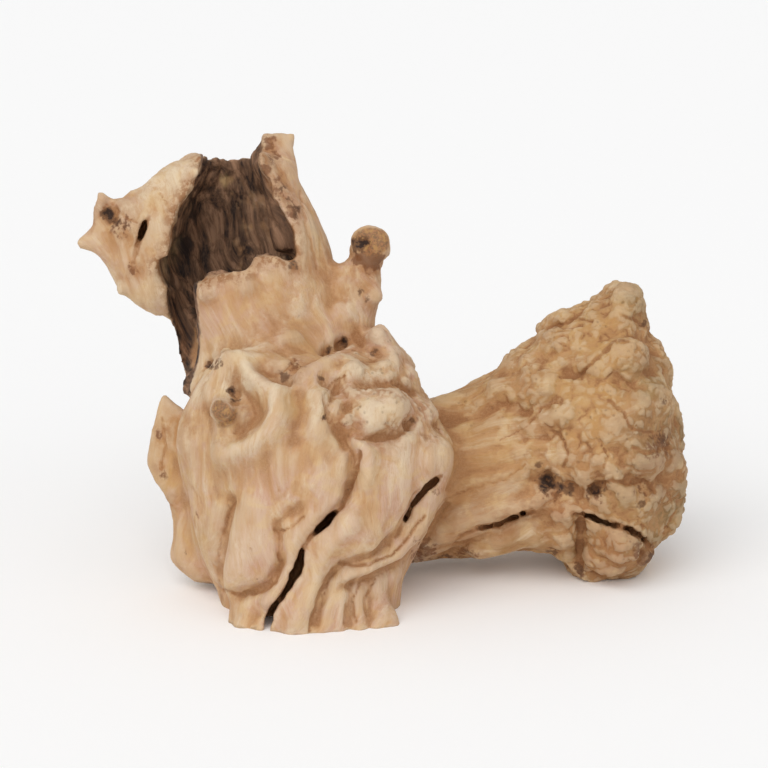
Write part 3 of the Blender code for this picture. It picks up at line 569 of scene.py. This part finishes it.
def ragged(outline):
    """A closed outline of (right, up) points, broken up as torn wood is."""
    corners = np.array(outline, float)
    spots = []
    for start, end in zip(corners, np.roll(corners, -1, axis=0)):
        steps = max(1, round(np.linalg.norm(end - start) / TEAR_STEP))
        spots.extend(start + (end - start) * step / steps for step in range(steps))
    return chipped(np.array(spots), TEAR)


def window(name, outline, back):
    """A closed cutter with an outline as seen from the front."""
    loops = [[seen(*spot, depth) for spot in outline] for depth in (CUTTER_FRONT, back)]
    return closed_tube(name, loops)


def cleft(name, back, line):
    """A closed cutter along a line as seen from the front, narrower at its back."""
    rows = smooth_rows(line, CLEFT_ROWS)
    along = np.gradient(rows[:, :2], axis=0)
    along /= np.linalg.norm(along, axis=1)[:, None]
    across = np.stack([along[:, 1], -along[:, 0]], axis=1)
    loops = []
    for depth, share in ((CUTTER_FRONT, 1.0), (back, CLEFT_TAPER)):
        shift = across * np.maximum(rows[:, 2:], THIN_CLEFT) * share
        outline = chipped(np.vstack([rows[:, :2] + shift, (rows[:, :2] - shift)[::-1]]), CLEFT_CHIP)
        loops.append([seen(*spot, depth) for spot in outline])
    return closed_tube(name, loops)


def settle(wood):
    """Applies the object's modifiers."""
    graph = bpy.context.evaluated_depsgraph_get()
    mesh = bpy.data.meshes.new_from_object(wood.evaluated_get(graph))
    wood.modifiers.clear()
    old = wood.data
    wood.data = mesh
    bpy.data.meshes.remove(old)


def combine(wood, others, operation):
    """Joins or cuts one object with others, and removes them."""
    for other in others:
        step = wood.modifiers.new(other.name, "BOOLEAN")
        step.operation = operation
        step.object = other
    settle(wood)
    for other in others:
        bpy.data.objects.remove(other)


def modify(wood, kind, **settings):
    """Applies a modifier of the kind."""
    step = wood.modifiers.new(kind, kind)
    for name, value in settings.items():
        setattr(step, name, value)
    settle(wood)


def remesh(wood, voxel):
    modify(wood, "REMESH", mode="VOXEL", voxel_size=voxel)


def hashed(cell, seed):
    """A repeatable number from 0 to 1 for each whole-number cell. Any whole number is a seed."""
    mix = np.full(cell.shape[:-1], seed * 7919 + 1, np.uint32)
    for axis, step in enumerate(SCRAMBLE):
        mix ^= cell[..., axis].astype(np.uint32) * np.uint32(step)
        mix *= np.uint32(SCRAMBLE_AGAIN)
        mix ^= mix >> np.uint32(15)
    return mix / 2.0**32


def noise(points, seed):
    """Smooth noise from about -1 to 1, with features one unit apart."""
    cell = np.floor(points).astype(np.int64)
    part = points - cell
    ease = part**3 * (part * (part * 6 - 15) + 10)
    total = np.zeros(len(points))
    for corner in itertools.product((0, 1), repeat=3):
        at = cell + corner
        slope = np.stack([hashed(at, seed * 3 + axis) for axis in range(3)], axis=-1) * 2 - 1
        weight = np.prod(np.where(corner, ease, 1 - ease), axis=-1)
        total += weight * ((part - corner) * slope).sum(axis=-1)
    return total * NOISE_GAIN


def scatter(points, seed):
    """Distances to the nearest and the second nearest of points strewn one to a unit cell."""
    cell = np.floor(points).astype(np.int64)
    nearest = np.full(len(points), FAR)
    second = nearest.copy()
    for step in itertools.product((-1, 0, 1), repeat=3):
        at = cell + step
        spot = at + np.stack([hashed(at, seed * 3 + axis) for axis in range(3)], axis=-1)
        gap = np.linalg.norm(spot - points, axis=-1)
        second = np.minimum(second, np.maximum(nearest, gap))
        nearest = np.minimum(nearest, gap)
    return nearest, second


def warp(points, size, reach, seed):
    """The points moved by up to about (reach) in swirls (size) apart."""
    moves = [noise(points / size, seed + axis) for axis in range(3)]
    return points + reach * np.stack(moves, axis=-1)


def ramp(value, low, high):
    """0 below low, 1 above high, and smooth between."""
    t = np.clip((value - low) / (high - low), 0, 1)
    return t * t * (3 - 2 * t)


def grain_flow(points):
    """The points moved as the grain swirls."""
    for swirl in SWIRLS:
        points = warp(points, *swirl)
    return points


def furrows(points, grain, level, seed):
    """Rounded ridges with sharp creases between them, long along the grain's way."""
    way = np.array(grain[0]) / np.linalg.norm(grain[0])
    across, along, height = grain[1][level]
    run = points @ way
    squeezed = (points - np.outer(run, way)) / across + np.outer(run / along, way)
    return height * (np.abs(noise(squeezed, seed)) ** RIDGE_POWER - RIDGE_LEVEL)


def knobs(points, size, height, seed):
    """Close-set round lumps of mixed heights, with creases between them."""
    nearest, second = scatter(points / size, seed)
    lump = ramp(second - nearest, *KNOB_EDGE)
    tall = 0.7 + 0.9 * noise(points / (2.3 * size), seed + 5)
    return height * (lump - KNOB_LEVEL) * np.clip(tall, *KNOB_SHARES)


def stroke_gap(flat, line):
    """Distance of points in the front view from a line through (right, up) points."""
    line = np.array(line, float)
    gap = np.full(len(flat), 1e9)
    for start, end in zip(line, line[1:]):
        way = end - start
        t = np.clip((flat - start) @ way / (way @ way), 0, 1)
        gap = np.minimum(gap, np.linalg.norm(flat - start - np.outer(t, way), axis=1))
    return gap


def regions(points):
    """How far each point belongs to the hollow limb, the burled limb, its burl and the collar."""
    right, back, up = points.T
    limb_share = ramp(up - 0.25 * np.abs(right + 50), -4, 14) * ramp(-right, -30, -10)
    side_share = ramp(right + 0.25 * back, 20, 34) * (1 - limb_share)
    burl_share = ramp(right + 0.35 * (up + 30), 48, 84)
    collar_share = ramp(right, -30, -16) * ramp(up, -34, -22) * ramp(-up, -34, -24)
    return limb_share, side_share, burl_share, collar_share


def grain_and_knobs(points, level):
    """Height of one level of ridges along the grain, with knobs on the burl and the collar."""
    limb_share, side_share, burl_share, collar_share = regions(points)
    flow = grain_flow(points)
    apart = KNOBS[level][0]
    swirl = warp(points, apart, KNOB_SWIRL * apart, 8 + level)
    seed = 20 + 20 * level
    root = furrows(flow, ROOT_GRAIN, level, seed + 1)
    limb_part = furrows(flow, LIMB_GRAIN, level, seed + 2)
    side = furrows(flow, BURL_GRAIN, level, seed + 3)
    root += (knobs(swirl, *GNARL[level], seed + 4) - COLLAR_WIPES * root) * collar_share
    side += (knobs(swirl, *KNOBS[level], seed + 5) - BURL_WIPES * side) * burl_share
    return root * (1 - limb_share) * (1 - side_share) + limb_part * limb_share + side * side_share


def broad_relief(points, normals):
    """Height of the main folds, creases, lumps and knobs, along the normals."""
    flat = front_view(points)
    facing = ramp(-normals[:, 1], *FACING)
    facing_back = ramp(normals[:, 1], *FACING)
    height = grain_and_knobs(points, 0)
    for side, strokes in ((facing, STROKES), (facing_back, BACK_STROKES)):
        for rise, half, line in strokes:
            height += side * rise * np.exp(-((stroke_gap(flat, line) / half) ** 2))
    for right, up, radius, rise in DABS:
        gap = np.linalg.norm(flat - (right, up), axis=1) / radius
        height += facing * rise * np.clip(1 - gap**2, 0, 1) ** 1.5
    return height


def close_relief(points, normals):
    """Height of the smaller ridges and knobs."""
    return grain_and_knobs(points, 1)


def surface(mesh):
    """The places and the normals of a mesh's vertices."""
    points = np.empty(len(mesh.vertices) * 3)
    normals = np.empty(len(mesh.vertices) * 3)
    mesh.vertices.foreach_get("co", points)
    mesh.vertex_normals.foreach_get("vector", normals)
    return points.reshape(-1, 3), normals.reshape(-1, 3)


def carve(wood, relief):
    """Moves the surface in or out along its normals by the relief."""
    points, normals = surface(wood.data)
    moved = points + normals * relief(points, normals)[:, None]
    wood.data.vertices.foreach_set("co", moved.ravel())
    wood.data.update()


def smooth(wood, times):
    modify(wood, "SMOOTH", iterations=times, factor=0.5)


def thin_out(wood, triangles):
    """Fewer faces, down to a number of triangles. A square makes two."""
    share = triangles / (2 * len(wood.data.polygons))
    modify(wood, "DECIMATE", use_collapse_triangulate=True, ratio=share)


def drop_scraps(wood):
    """Keeps the wood itself and removes any loose scrap that the cutting left."""
    bm = bmesh.new()
    bm.from_mesh(wood.data)
    left = set(bm.verts)
    pieces = []
    while left:
        piece = [left.pop()]
        for vertex in piece:
            near = {edge.other_vert(vertex) for edge in vertex.link_edges} & left
            left -= near
            piece.extend(near)
        pieces.append(piece)
    pieces.sort(key=len)
    scraps = [vertex for piece in pieces[:-1] for vertex in piece]
    bmesh.ops.delete(bm, geom=scraps, context="VERTS")
    bm.to_mesh(wood.data)
    bm.free()


def stand(wood):
    """Turns the wood upright, in metres, and saws its feet flat on z = 0."""
    upright = Matrix.Translation(MIDDLE) @ Matrix.Rotation(-TILT, 4, "X")
    wood.data.transform(Matrix.Scale(MM, 4) @ upright)
    bm = bmesh.new()
    bmesh.ops.create_cube(bm, size=1.0, matrix=Matrix.Translation((0, 0, -0.5)))
    combine(wood, [new_object("table", bm)], "DIFFERENCE")


def fibres(points):
    """Height of the rotten heartwood's fibres inside the hollow."""
    flow = warp(points, *SWIRLS[-1])
    return sum(furrows(flow, FIBRES, level, 90 + level) for level in range(len(FIBRES[1])))


def fine_relief(points, normals):
    """Height of the finest ridges, knobs and fibres, and the seams."""
    rot = rotten(points)
    height = grain_and_knobs(points, 2) * (1 - rot) + fibres(points) * rot
    flat = front_view(points) + unevenness(points)
    facing = ramp(-normals[:, 1], *MARK_FACING)
    for half, depth, line in SEAMS:
        height -= facing * depth * np.exp(-((stroke_gap(flat, line) / half) ** 2))
    return height


def unevenness(points):
    """Small shifts in the front view that keep painted edges and seams from running smoothly."""
    return sum(
        reach * np.stack([noise(points / size, seed + axis) for axis in range(2)], axis=-1)
        for size, reach, seed in UNEVEN
    )


def ring_share(points, rings):
    """How far out points lie from the middle of a standing limb, as a share of its width."""
    rows = smooth_rows(rings, ROWS_BETWEEN)
    right, up = front_view(points).T
    middle, back, wide, deep = [np.interp(up, rows[:, 1], rows[:, i]) for i in (0, 2, 3, 4)]
    share = np.hypot((right - middle) / wide, (points[:, 1] - back) / deep)
    return np.where((up > rows[0, 1] - 4) & (up < rows[-1, 1]), share, FAR)


def hollow_share(points):
    """How far out points lie from the middle of the hollow, unevenly, as a share of its width."""
    share = np.full(len(points), FAR)
    for _, rings in HOLLOW.values():
        share = np.minimum(share, ring_share(points, rings))
    for size, seed in ROT_NOISE:
        share += ROT_UNEVEN * noise(points / size, seed)
    return share


def rotten(points):
    """1 on the rotten wood inside the hollow and 0 outside it, with a ragged edge."""
    return 1 - ramp(hollow_share(points), *ROT_EDGE)


def sunken(mesh, points, normals, times):
    """How far each vertex lies below its surroundings."""
    ends = np.empty(len(mesh.edges) * 2, np.int32)
    mesh.edges.foreach_get("vertices", ends)
    first, second = ends.reshape(-1, 2).T
    size = len(points)
    near = np.bincount(first, minlength=size) + np.bincount(second, minlength=size)
    level = points
    for _ in range(times):
        level = np.stack([
            (np.bincount(first, level[second, axis], size)
             + np.bincount(second, level[first, axis], size)) / near
            for axis in range(3)
        ], axis=-1)
    return ((level - points) * normals).sum(axis=1)


def grain_place(flow, way):
    """Places pressed together along the grain, so that noise there is drawn out along it."""
    way = np.array(way) / np.linalg.norm(way)
    run = flow @ way
    return flow + np.outer(run * (1 / GRAIN_STRETCH - 1), way)


def stain_and_painted_light(flat, uneven, spots):
    """How strongly soft spots of (right, up, radius, strength) mark the points: stains and painted
    light and shade.
    """
    total = np.zeros(len(flat))
    for right, up, radius, strength in spots:
        shift = uneven * (0.3 * radius + 1.2)
        gap = np.linalg.norm(flat - (right, up) + shift, axis=1) / radius
        total = np.maximum(total, strength * ramp(-gap, *SPOT_EDGE))
    return total


def cracks(flat, uneven):
    """How far the points lie in a crease, a cleft's edge or a seam of the front, for their brown
    and painted shade.
    """
    total = np.zeros(len(flat))
    for rise, half, line in STROKES:
        if rise < 0:
            gap = stroke_gap(flat + 1.2 * uneven, line) / (0.26 * half + 0.2)
            total = np.maximum(total, -rise / FULL_CRACK * np.exp(-(gap**2)))
    for _, line in CLEFTS.values():
        for start, end in zip(line, line[1:]):
            half = 0.35 * (start[2] + end[2]) + 0.35
            gap = stroke_gap(flat + 0.5 * uneven, [start[:2], end[:2]]) / half
            total = np.maximum(total, np.exp(-(gap**4)))
    for half, depth, line in SEAMS:
        gap = stroke_gap(flat + uneven, line) / (1.1 * half)
        total = np.maximum(total, 0.75 * depth * np.exp(-(gap**2)))
    return total


def sawn_ends(flat):
    """1 on the sawn ends of the twigs and 0 off them."""
    total = np.zeros(len(flat))
    for right, up, wide, high in CUT_ENDS:
        gap = np.linalg.norm((flat - (right, up)) / (wide, high), axis=1)
        total = np.maximum(total, ramp(-gap, *CUT_EDGE))
    return total


def torn_rim(points, flat):
    """How strongly the mouth's torn edge is stained, in patches."""
    near = ramp(-stroke_gap(flat, MOUTH + MOUTH[:1]), *RIM)
    return near * ramp(noise(points / 8.0, 73), -0.6, 0.2) * ramp(-points[:, 1], *RIM_DEPTH)


def mark(wood):
    """Stores at each vertex what the material needs: regions, stains, painted light and shade,
    creases and grain.
    """
    mesh = wood.data
    points, normals = surface(mesh)
    upright = np.array(Matrix.Rotation(TILT, 3, "X"))
    points = (points / MM - np.array(MIDDLE)) @ upright.T
    normals = normals @ upright.T
    flat = front_view(points)
    facing = ramp(-normals[:, 1], *MARK_FACING)
    uneven = unevenness(points)
    marks = dict(zip(("limb", "side", "burl", "collar"), regions(points)))
    marks["rot"] = rotten(points)
    marks["rim"] = torn_rim(points, flat)
    marks["sunk_near"] = sunken(mesh, points, normals, NEAR_ROUNDS)
    marks["sunk_far"] = sunken(mesh, points, normals, FAR_ROUNDS)
    for name, spots in STAINS_AND_PAINTED_LIGHT.items():
        marks[name] = stain_and_painted_light(flat, uneven, spots) * facing
    marks["crack"] = cracks(flat, uneven) * facing
    marks["end"] = sawn_ends(flat) * ramp(-normals[:, 1], *CUT_FACING)
    for name in MARKS:
        stored = mesh.attributes.new(name, "FLOAT", "POINT")
        stored.data.foreach_set("value", marks[name].astype(np.float32))
    flow = grain_flow(points)
    for name, grain in GRAINS.items():
        stored = mesh.attributes.new(name, "FLOAT_VECTOR", "POINT")
        stored.data.foreach_set("vector", grain_place(flow, grain[0]).astype(np.float32).ravel())


class Shader:
    """A short way to add and join a material's nodes."""

    def __init__(self, name):
        self.material = bpy.data.materials.new(name)
        self.material.use_nodes = True
        self.nodes = self.material.node_tree.nodes
        self.links = self.material.node_tree.links
        self.surface = self.nodes["Principled BSDF"]

    def feed(self, socket, value):
        if isinstance(value, bpy.types.NodeSocket):
            self.links.new(value, socket)
        else:
            socket.default_value = value

    def add(self, kind, output, settings=(), **inputs):
        node = self.nodes.new(kind)
        for name, value in dict(settings).items():
            setattr(node, name, value)
        for name, value in inputs.items():
            self.feed(node.inputs[name.replace("_", " ")], value)
        return node.outputs[output]

    def attribute(self, name, output="Fac"):
        return self.add("ShaderNodeAttribute", output, {"attribute_name": name})

    def noise(self, place, scale, detail=4.0, roughness=0.6, distortion=0.0):
        return self.add("ShaderNodeTexNoise", "Fac", Vector=place, Scale=scale, Detail=detail,
                        Roughness=roughness, Distortion=distortion)

    def cells(self, place, scale):
        return self.add("ShaderNodeTexVoronoi", "Distance", Vector=place, Scale=scale)

    def span(self, value, low, high, to_low=0.0, to_high=1.0):
        return self.add("ShaderNodeMapRange", "Result", {"interpolation_type": "SMOOTHSTEP"},
                        Value=value, From_Min=low, From_Max=high, To_Min=to_low, To_Max=to_high)

    def math(self, operation, first, second):
        node = self.nodes.new("ShaderNodeMath")
        node.operation = operation
        self.feed(node.inputs[0], first)
        self.feed(node.inputs[1], second)
        return node.outputs[0]

    def times(self, *values):
        total = values[0]
        for value in values[1:]:
            total = self.math("MULTIPLY", total, value)
        return total

    def mix(self, share, first, second):
        """first where share is 0 and second where it is 1: colours or numbers."""
        node = self.nodes.new("ShaderNodeMix")
        plain = isinstance(first, float) or getattr(first, "type", "") == "VALUE"
        node.data_type = "FLOAT" if plain else "RGBA"
        kind = "VALUE" if plain else "RGBA"
        sockets = {s.name: s for s in node.inputs if s.type == kind and s.name in "AB"}
        self.feed(node.inputs["Factor"], share)
        self.feed(sockets["A"], first)
        self.feed(sockets["B"], second)
        return next(s for s in node.outputs if s.type == kind)


def wood_material():
    """Sandblasted driftwood: grain along each limb, stains, painted light and shade, dark creases
    and rotten heartwood.
    """
    s = Shader("sandblasted driftwood")
    at = {name: s.attribute(name) for name in MARKS}
    runs = [s.attribute(name, "Vector") for name in GRAINS]
    place = s.add("ShaderNodeVectorMath", "Vector", {"operation": "SCALE"},
                  Vector=s.add("ShaderNodeTexCoord", "Object"), Scale=1 / MM)

    def along_grain(scale, detail):
        root, side, limb_part = [s.noise(run, scale, detail, 0.65) for run in runs]
        return s.mix(at["limb"], s.mix(at["side"], root, side), limb_part)

    broad_streak = along_grain(0.16, 3.0)
    streak = along_grain(0.5, 4.0)
    fine_streak = along_grain(1.8, 3.0)
    blotch = s.noise(place, 0.045, 4.0, 0.6)
    small_blotch = s.noise(place, 0.16, 5.0, 0.65)
    warm = s.noise(place, 0.09, 3.0, 0.55, 0.6)
    grit = s.noise(place, 1.1, 4.0, 0.7)
    fleck = s.noise(place, 0.34, 2.5, 0.6)

    def patchy(share, low, high, least=0.0, most=1.0):
        """The share, weaker and stronger in small blotches."""
        return s.times(share, s.span(small_blotch, low, high, least, most))

    # Sound wood: blotches and streaks
    knobby = s.math("MAXIMUM", at["burl"], at["collar"])
    colour = s.mix(s.span(blotch, 0.35, 0.68), TAN, PINK)
    colour = s.mix(s.times(at["pink"], 0.8), colour, PINK)
    colour = s.mix(patchy(at["side"], 0.2, 0.7, 0.55, 0.95), colour, OCHRE)
    # Pale patches: the wood's own pale, partly painted highlight
    colour = s.mix(patchy(at["cream"], 0.25, 0.6, 0.5), colour, CREAM)
    for value, low, high, most, tint in (
        (warm, 0.46, 0.62, 0.55, HONEY),
        (broad_streak, 0.52, 0.7, 0.45, CREAM),
        (broad_streak, 0.52, 0.33, 0.55, AMBER),
        (streak, 0.48, 0.3, 0.55, AMBER),
        (streak, 0.55, 0.72, 0.3, CREAM),
        (fine_streak, 0.48, 0.3, 0.4, AMBER),
    ):
        colour = s.mix(s.span(value, low, high, 0.0, most), colour, tint)

    # Stains; the rust holds a painted shadow of the bole on the limb behind it
    # Olive, darker towards the burl's right edge and bottom
    colour = s.mix(patchy(at["olive"], 0.3, 0.62, 0.35, 0.95), colour, OLIVE)
    gold = patchy(at["gold"], 0.3, 0.6, 0.35, 0.9)
    colour = s.mix(gold, colour, GOLD)
    rust = s.math("MAXIMUM", at["rust"], at["rim"])
    colour = s.mix(patchy(rust, 0.36, 0.56, 0.2), colour, RUST)

    # Painted highlight on worn ridges, and painted shade in hollows, creases, pits and cracks
    wear_and_highlight = s.math("SUBTRACT", 1.0, s.times(at["side"], 0.5))
    ridge = s.times(s.span(at["sunk_near"], -0.05, -0.55), wear_and_highlight)
    colour = s.mix(s.times(ridge, s.mix(knobby, 0.25, 0.5)), colour, CREAM)
    # Painted warm shade in broad hollows: amber, and rust on the knobs
    hollow_shade = patchy(s.span(at["sunk_far"], 0.4, 4.0), 0.3, 0.6, 0.25, 0.6)
    colour = s.mix(s.times(hollow_shade, s.mix(knobby, 1.0, 1.4)), colour, s.mix(knobby, AMBER, RUST))
    # Painted shade in fine creases: warm amber, then crease brown where deepest
    colour = s.mix(s.span(at["sunk_near"], 0.0, 0.3, 0.0, 0.4), colour, AMBER)
    near = s.times(s.span(at["sunk_near"], 0.15, 0.8), s.span(grit, 0.3, 0.6, 0.4, 0.85))
    colour = s.mix(s.times(near, s.mix(knobby, 0.7, 1.1)), colour, CREASE)
    # Tiny pits on the knobs, dented in the bump: partly their own dark, partly painted shade
    pits = patchy(s.span(s.cells(place, 0.3), 0.34, 0.12), 0.48, 0.62)
    colour = s.mix(s.times(pits, knobby, 0.35), colour, UMBER)
    burnt = s.math("SUBTRACT", at["burnt"], s.span(fleck, 0.32, 0.62, 0.0, 0.55))
    colour = s.mix(s.span(burnt, 0.02, 0.55, 0.0, 0.75), colour, BURNT)
    # Creases, clefts and seams: partly their own brown, partly painted shade
    crack = patchy(s.span(at["crack"], 0.2, 0.9), 0.34, 0.58, 0.35, 0.9)
    colour = s.mix(crack, colour, CREASE)

    # The sawn ends, the darkest spots, partly painted shade in pits and holes, and the torn rim
    rings = s.noise(place, 0.9, 3.0, 0.6, 0.4)
    end_wood = s.mix(s.span(rings, 0.35, 0.65), END_WOOD, RUST)
    end_wood = s.mix(s.span(fleck, 0.47, 0.66), end_wood, OCHRE)
    colour = s.mix(s.times(at["end"], 0.9), colour, end_wood)
    # Dark spots, partly painted shade inside pits and holes
    dark_spots_and_pit_shade = s.math("SUBTRACT", at["dark"], s.span(fleck, 0.35, 0.65, 0.0, 0.45))
    colour = s.mix(s.span(dark_spots_and_pit_shade, 0.05, 0.45, 0.0, 0.8), colour, UMBER)
    colour = s.mix(s.span(dark_spots_and_pit_shade, 0.5, 0.85, 0.0, 0.85), colour, ROT_DARK)
    flecks = s.times(at["rim"], s.span(fleck, 0.46, 0.6), 0.85)
    colour = s.mix(flecks, colour, CREASE)

    # The rotten wood inside the hollow
    rot_streak = s.noise(runs[2], 0.2, 5.0, 0.68)
    rot_patch = s.noise(place, 0.055, 4.0, 0.6)
    rot = s.mix(s.span(rot_streak, 0.36, 0.5), ROT_DARK, ROT_MIDDLE)
    rot = s.mix(s.span(rot_streak, 0.47, 0.66), rot, ROT_LIGHT)
    rot = s.mix(s.span(rot_patch, 0.46, 0.34, 0.0, 0.85), rot, ROT_DARK)
    rot = s.mix(s.span(rot_patch, 0.55, 0.7, 0.0, 0.45), rot, ROT_LIGHT)
    rot = s.mix(s.times(at["pink"], 0.35), rot, ROT_LIGHT)
    rot = s.mix(gold, rot, HONEY)
    colour = s.mix(at["rot"], colour, rot)

    # Gloss and the finest relief
    s.feed(s.surface.inputs["Base Color"], colour)
    rough = s.span(grit, 0.3, 0.7, 0.62, 0.85)
    s.feed(s.surface.inputs["Roughness"], s.mix(s.times(at["cream"], 0.5), rough, 0.5))
    s.feed(s.surface.inputs["Specular IOR Level"], 0.3)
    fine = s.math("ADD", s.times(fine_streak, 0.5), s.times(streak, 0.8))
    height = s.math("ADD", fine, s.times(grit, s.mix(knobby, 0.25, 0.7)))
    height = s.math("SUBTRACT", height, s.times(pits, knobby, 0.5))
    bump = s.add("ShaderNodeBump", "Normal", Strength=0.6, Distance=0.0009, Height=height)
    s.feed(s.surface.inputs["Normal"], bump)
    return s.material


def plain_material(name, colour, roughness):
    s = Shader(name)
    s.feed(s.surface.inputs["Base Color"], colour)
    s.feed(s.surface.inputs["Roughness"], roughness)
    return s.material


def floor_and_lights():
    """A wide pale floor, soft light from the front and fill from all round."""
    bm = bmesh.new()
    bmesh.ops.create_grid(bm, x_segments=1, y_segments=1, size=FLOOR_HALF)
    floor = new_object("floor", bm)
    floor.data.materials.append(plain_material("pale floor", FLOOR_COLOUR, 0.9))
    scene = bpy.context.scene
    for name, (place, spread, strength) in LIGHTS.items():
        lamp = bpy.data.lights.new(name, "SUN")
        lamp.angle = math.radians(spread)
        lamp.energy = strength
        light = bpy.data.objects.new(name, lamp)
        light.location = place
        light.rotation_euler = (-Vector(place)).to_track_quat("-Z", "Y").to_euler()
        scene.collection.objects.link(light)
    world = bpy.data.worlds.new("soft white room")
    world.use_nodes = True
    sky = world.node_tree.nodes["Background"].inputs
    sky["Color"].default_value = (1, 1, 1, 1)
    sky["Strength"].default_value = SKY
    scene.world = world
    scene.view_settings.view_transform = "Standard"


def camera():
    """The photograph's view."""
    lens = bpy.data.cameras.new("camera")
    lens.sensor_width = SENSOR
    lens.lens = SENSOR / (PICTURE_WIDTH / VIEW_DISTANCE)
    lens.clip_start = 0.05
    lens.clip_end = 50.0
    eye = bpy.data.objects.new("camera", lens)
    back = Vector((0, -math.cos(TILT), math.sin(TILT)))
    eye.location = (MIDDLE + back * VIEW_DISTANCE) * MM
    eye.rotation_euler = (-back).to_track_quat("-Z", "Y").to_euler()
    bpy.context.scene.collection.objects.link(eye)
    bpy.context.scene.camera = eye


def shaped_wood():
    """The CAD part's form, made finer."""
    limbs = [limb(name, *shape) for name, shape in LIMBS.items()]
    wood = limbs[0]
    combine(wood, limbs[1:], "UNION")
    remesh(wood, FIRST_VOXEL)
    smooth(wood, SMOOTHINGS)
    hollow = [limb(name, *shape) for name, shape in HOLLOW.items()]
    combine(wood, [*hollow, window("mouth", ragged(MOUTH), MOUTH_BACK)], "DIFFERENCE")
    combine(wood, [limb("horn", *HORN)], "UNION")
    remesh(wood, VOXEL)
    carve(wood, broad_relief)
    remesh(wood, VOXEL)
    carve(wood, close_relief)
    remesh(wood, VOXEL)
    combine(wood, [cleft(name, *shape) for name, shape in CLEFTS.items()], "DIFFERENCE")
    remesh(wood, VOXEL)
    carve(wood, fine_relief)
    drop_scraps(wood)
    thin_out(wood, TRIANGLES)
    stand(wood)
    wood.name = "gnarled_wood"
    return wood


def main():
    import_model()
    wood = shaped_wood()
    mark(wood)
    wood.data.shade_smooth()
    wood.data.materials.clear()
    wood.data.materials.append(wood_material())
    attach(wood, "root")
    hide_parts("driftwood")
    floor_and_lights()
    camera()


main()
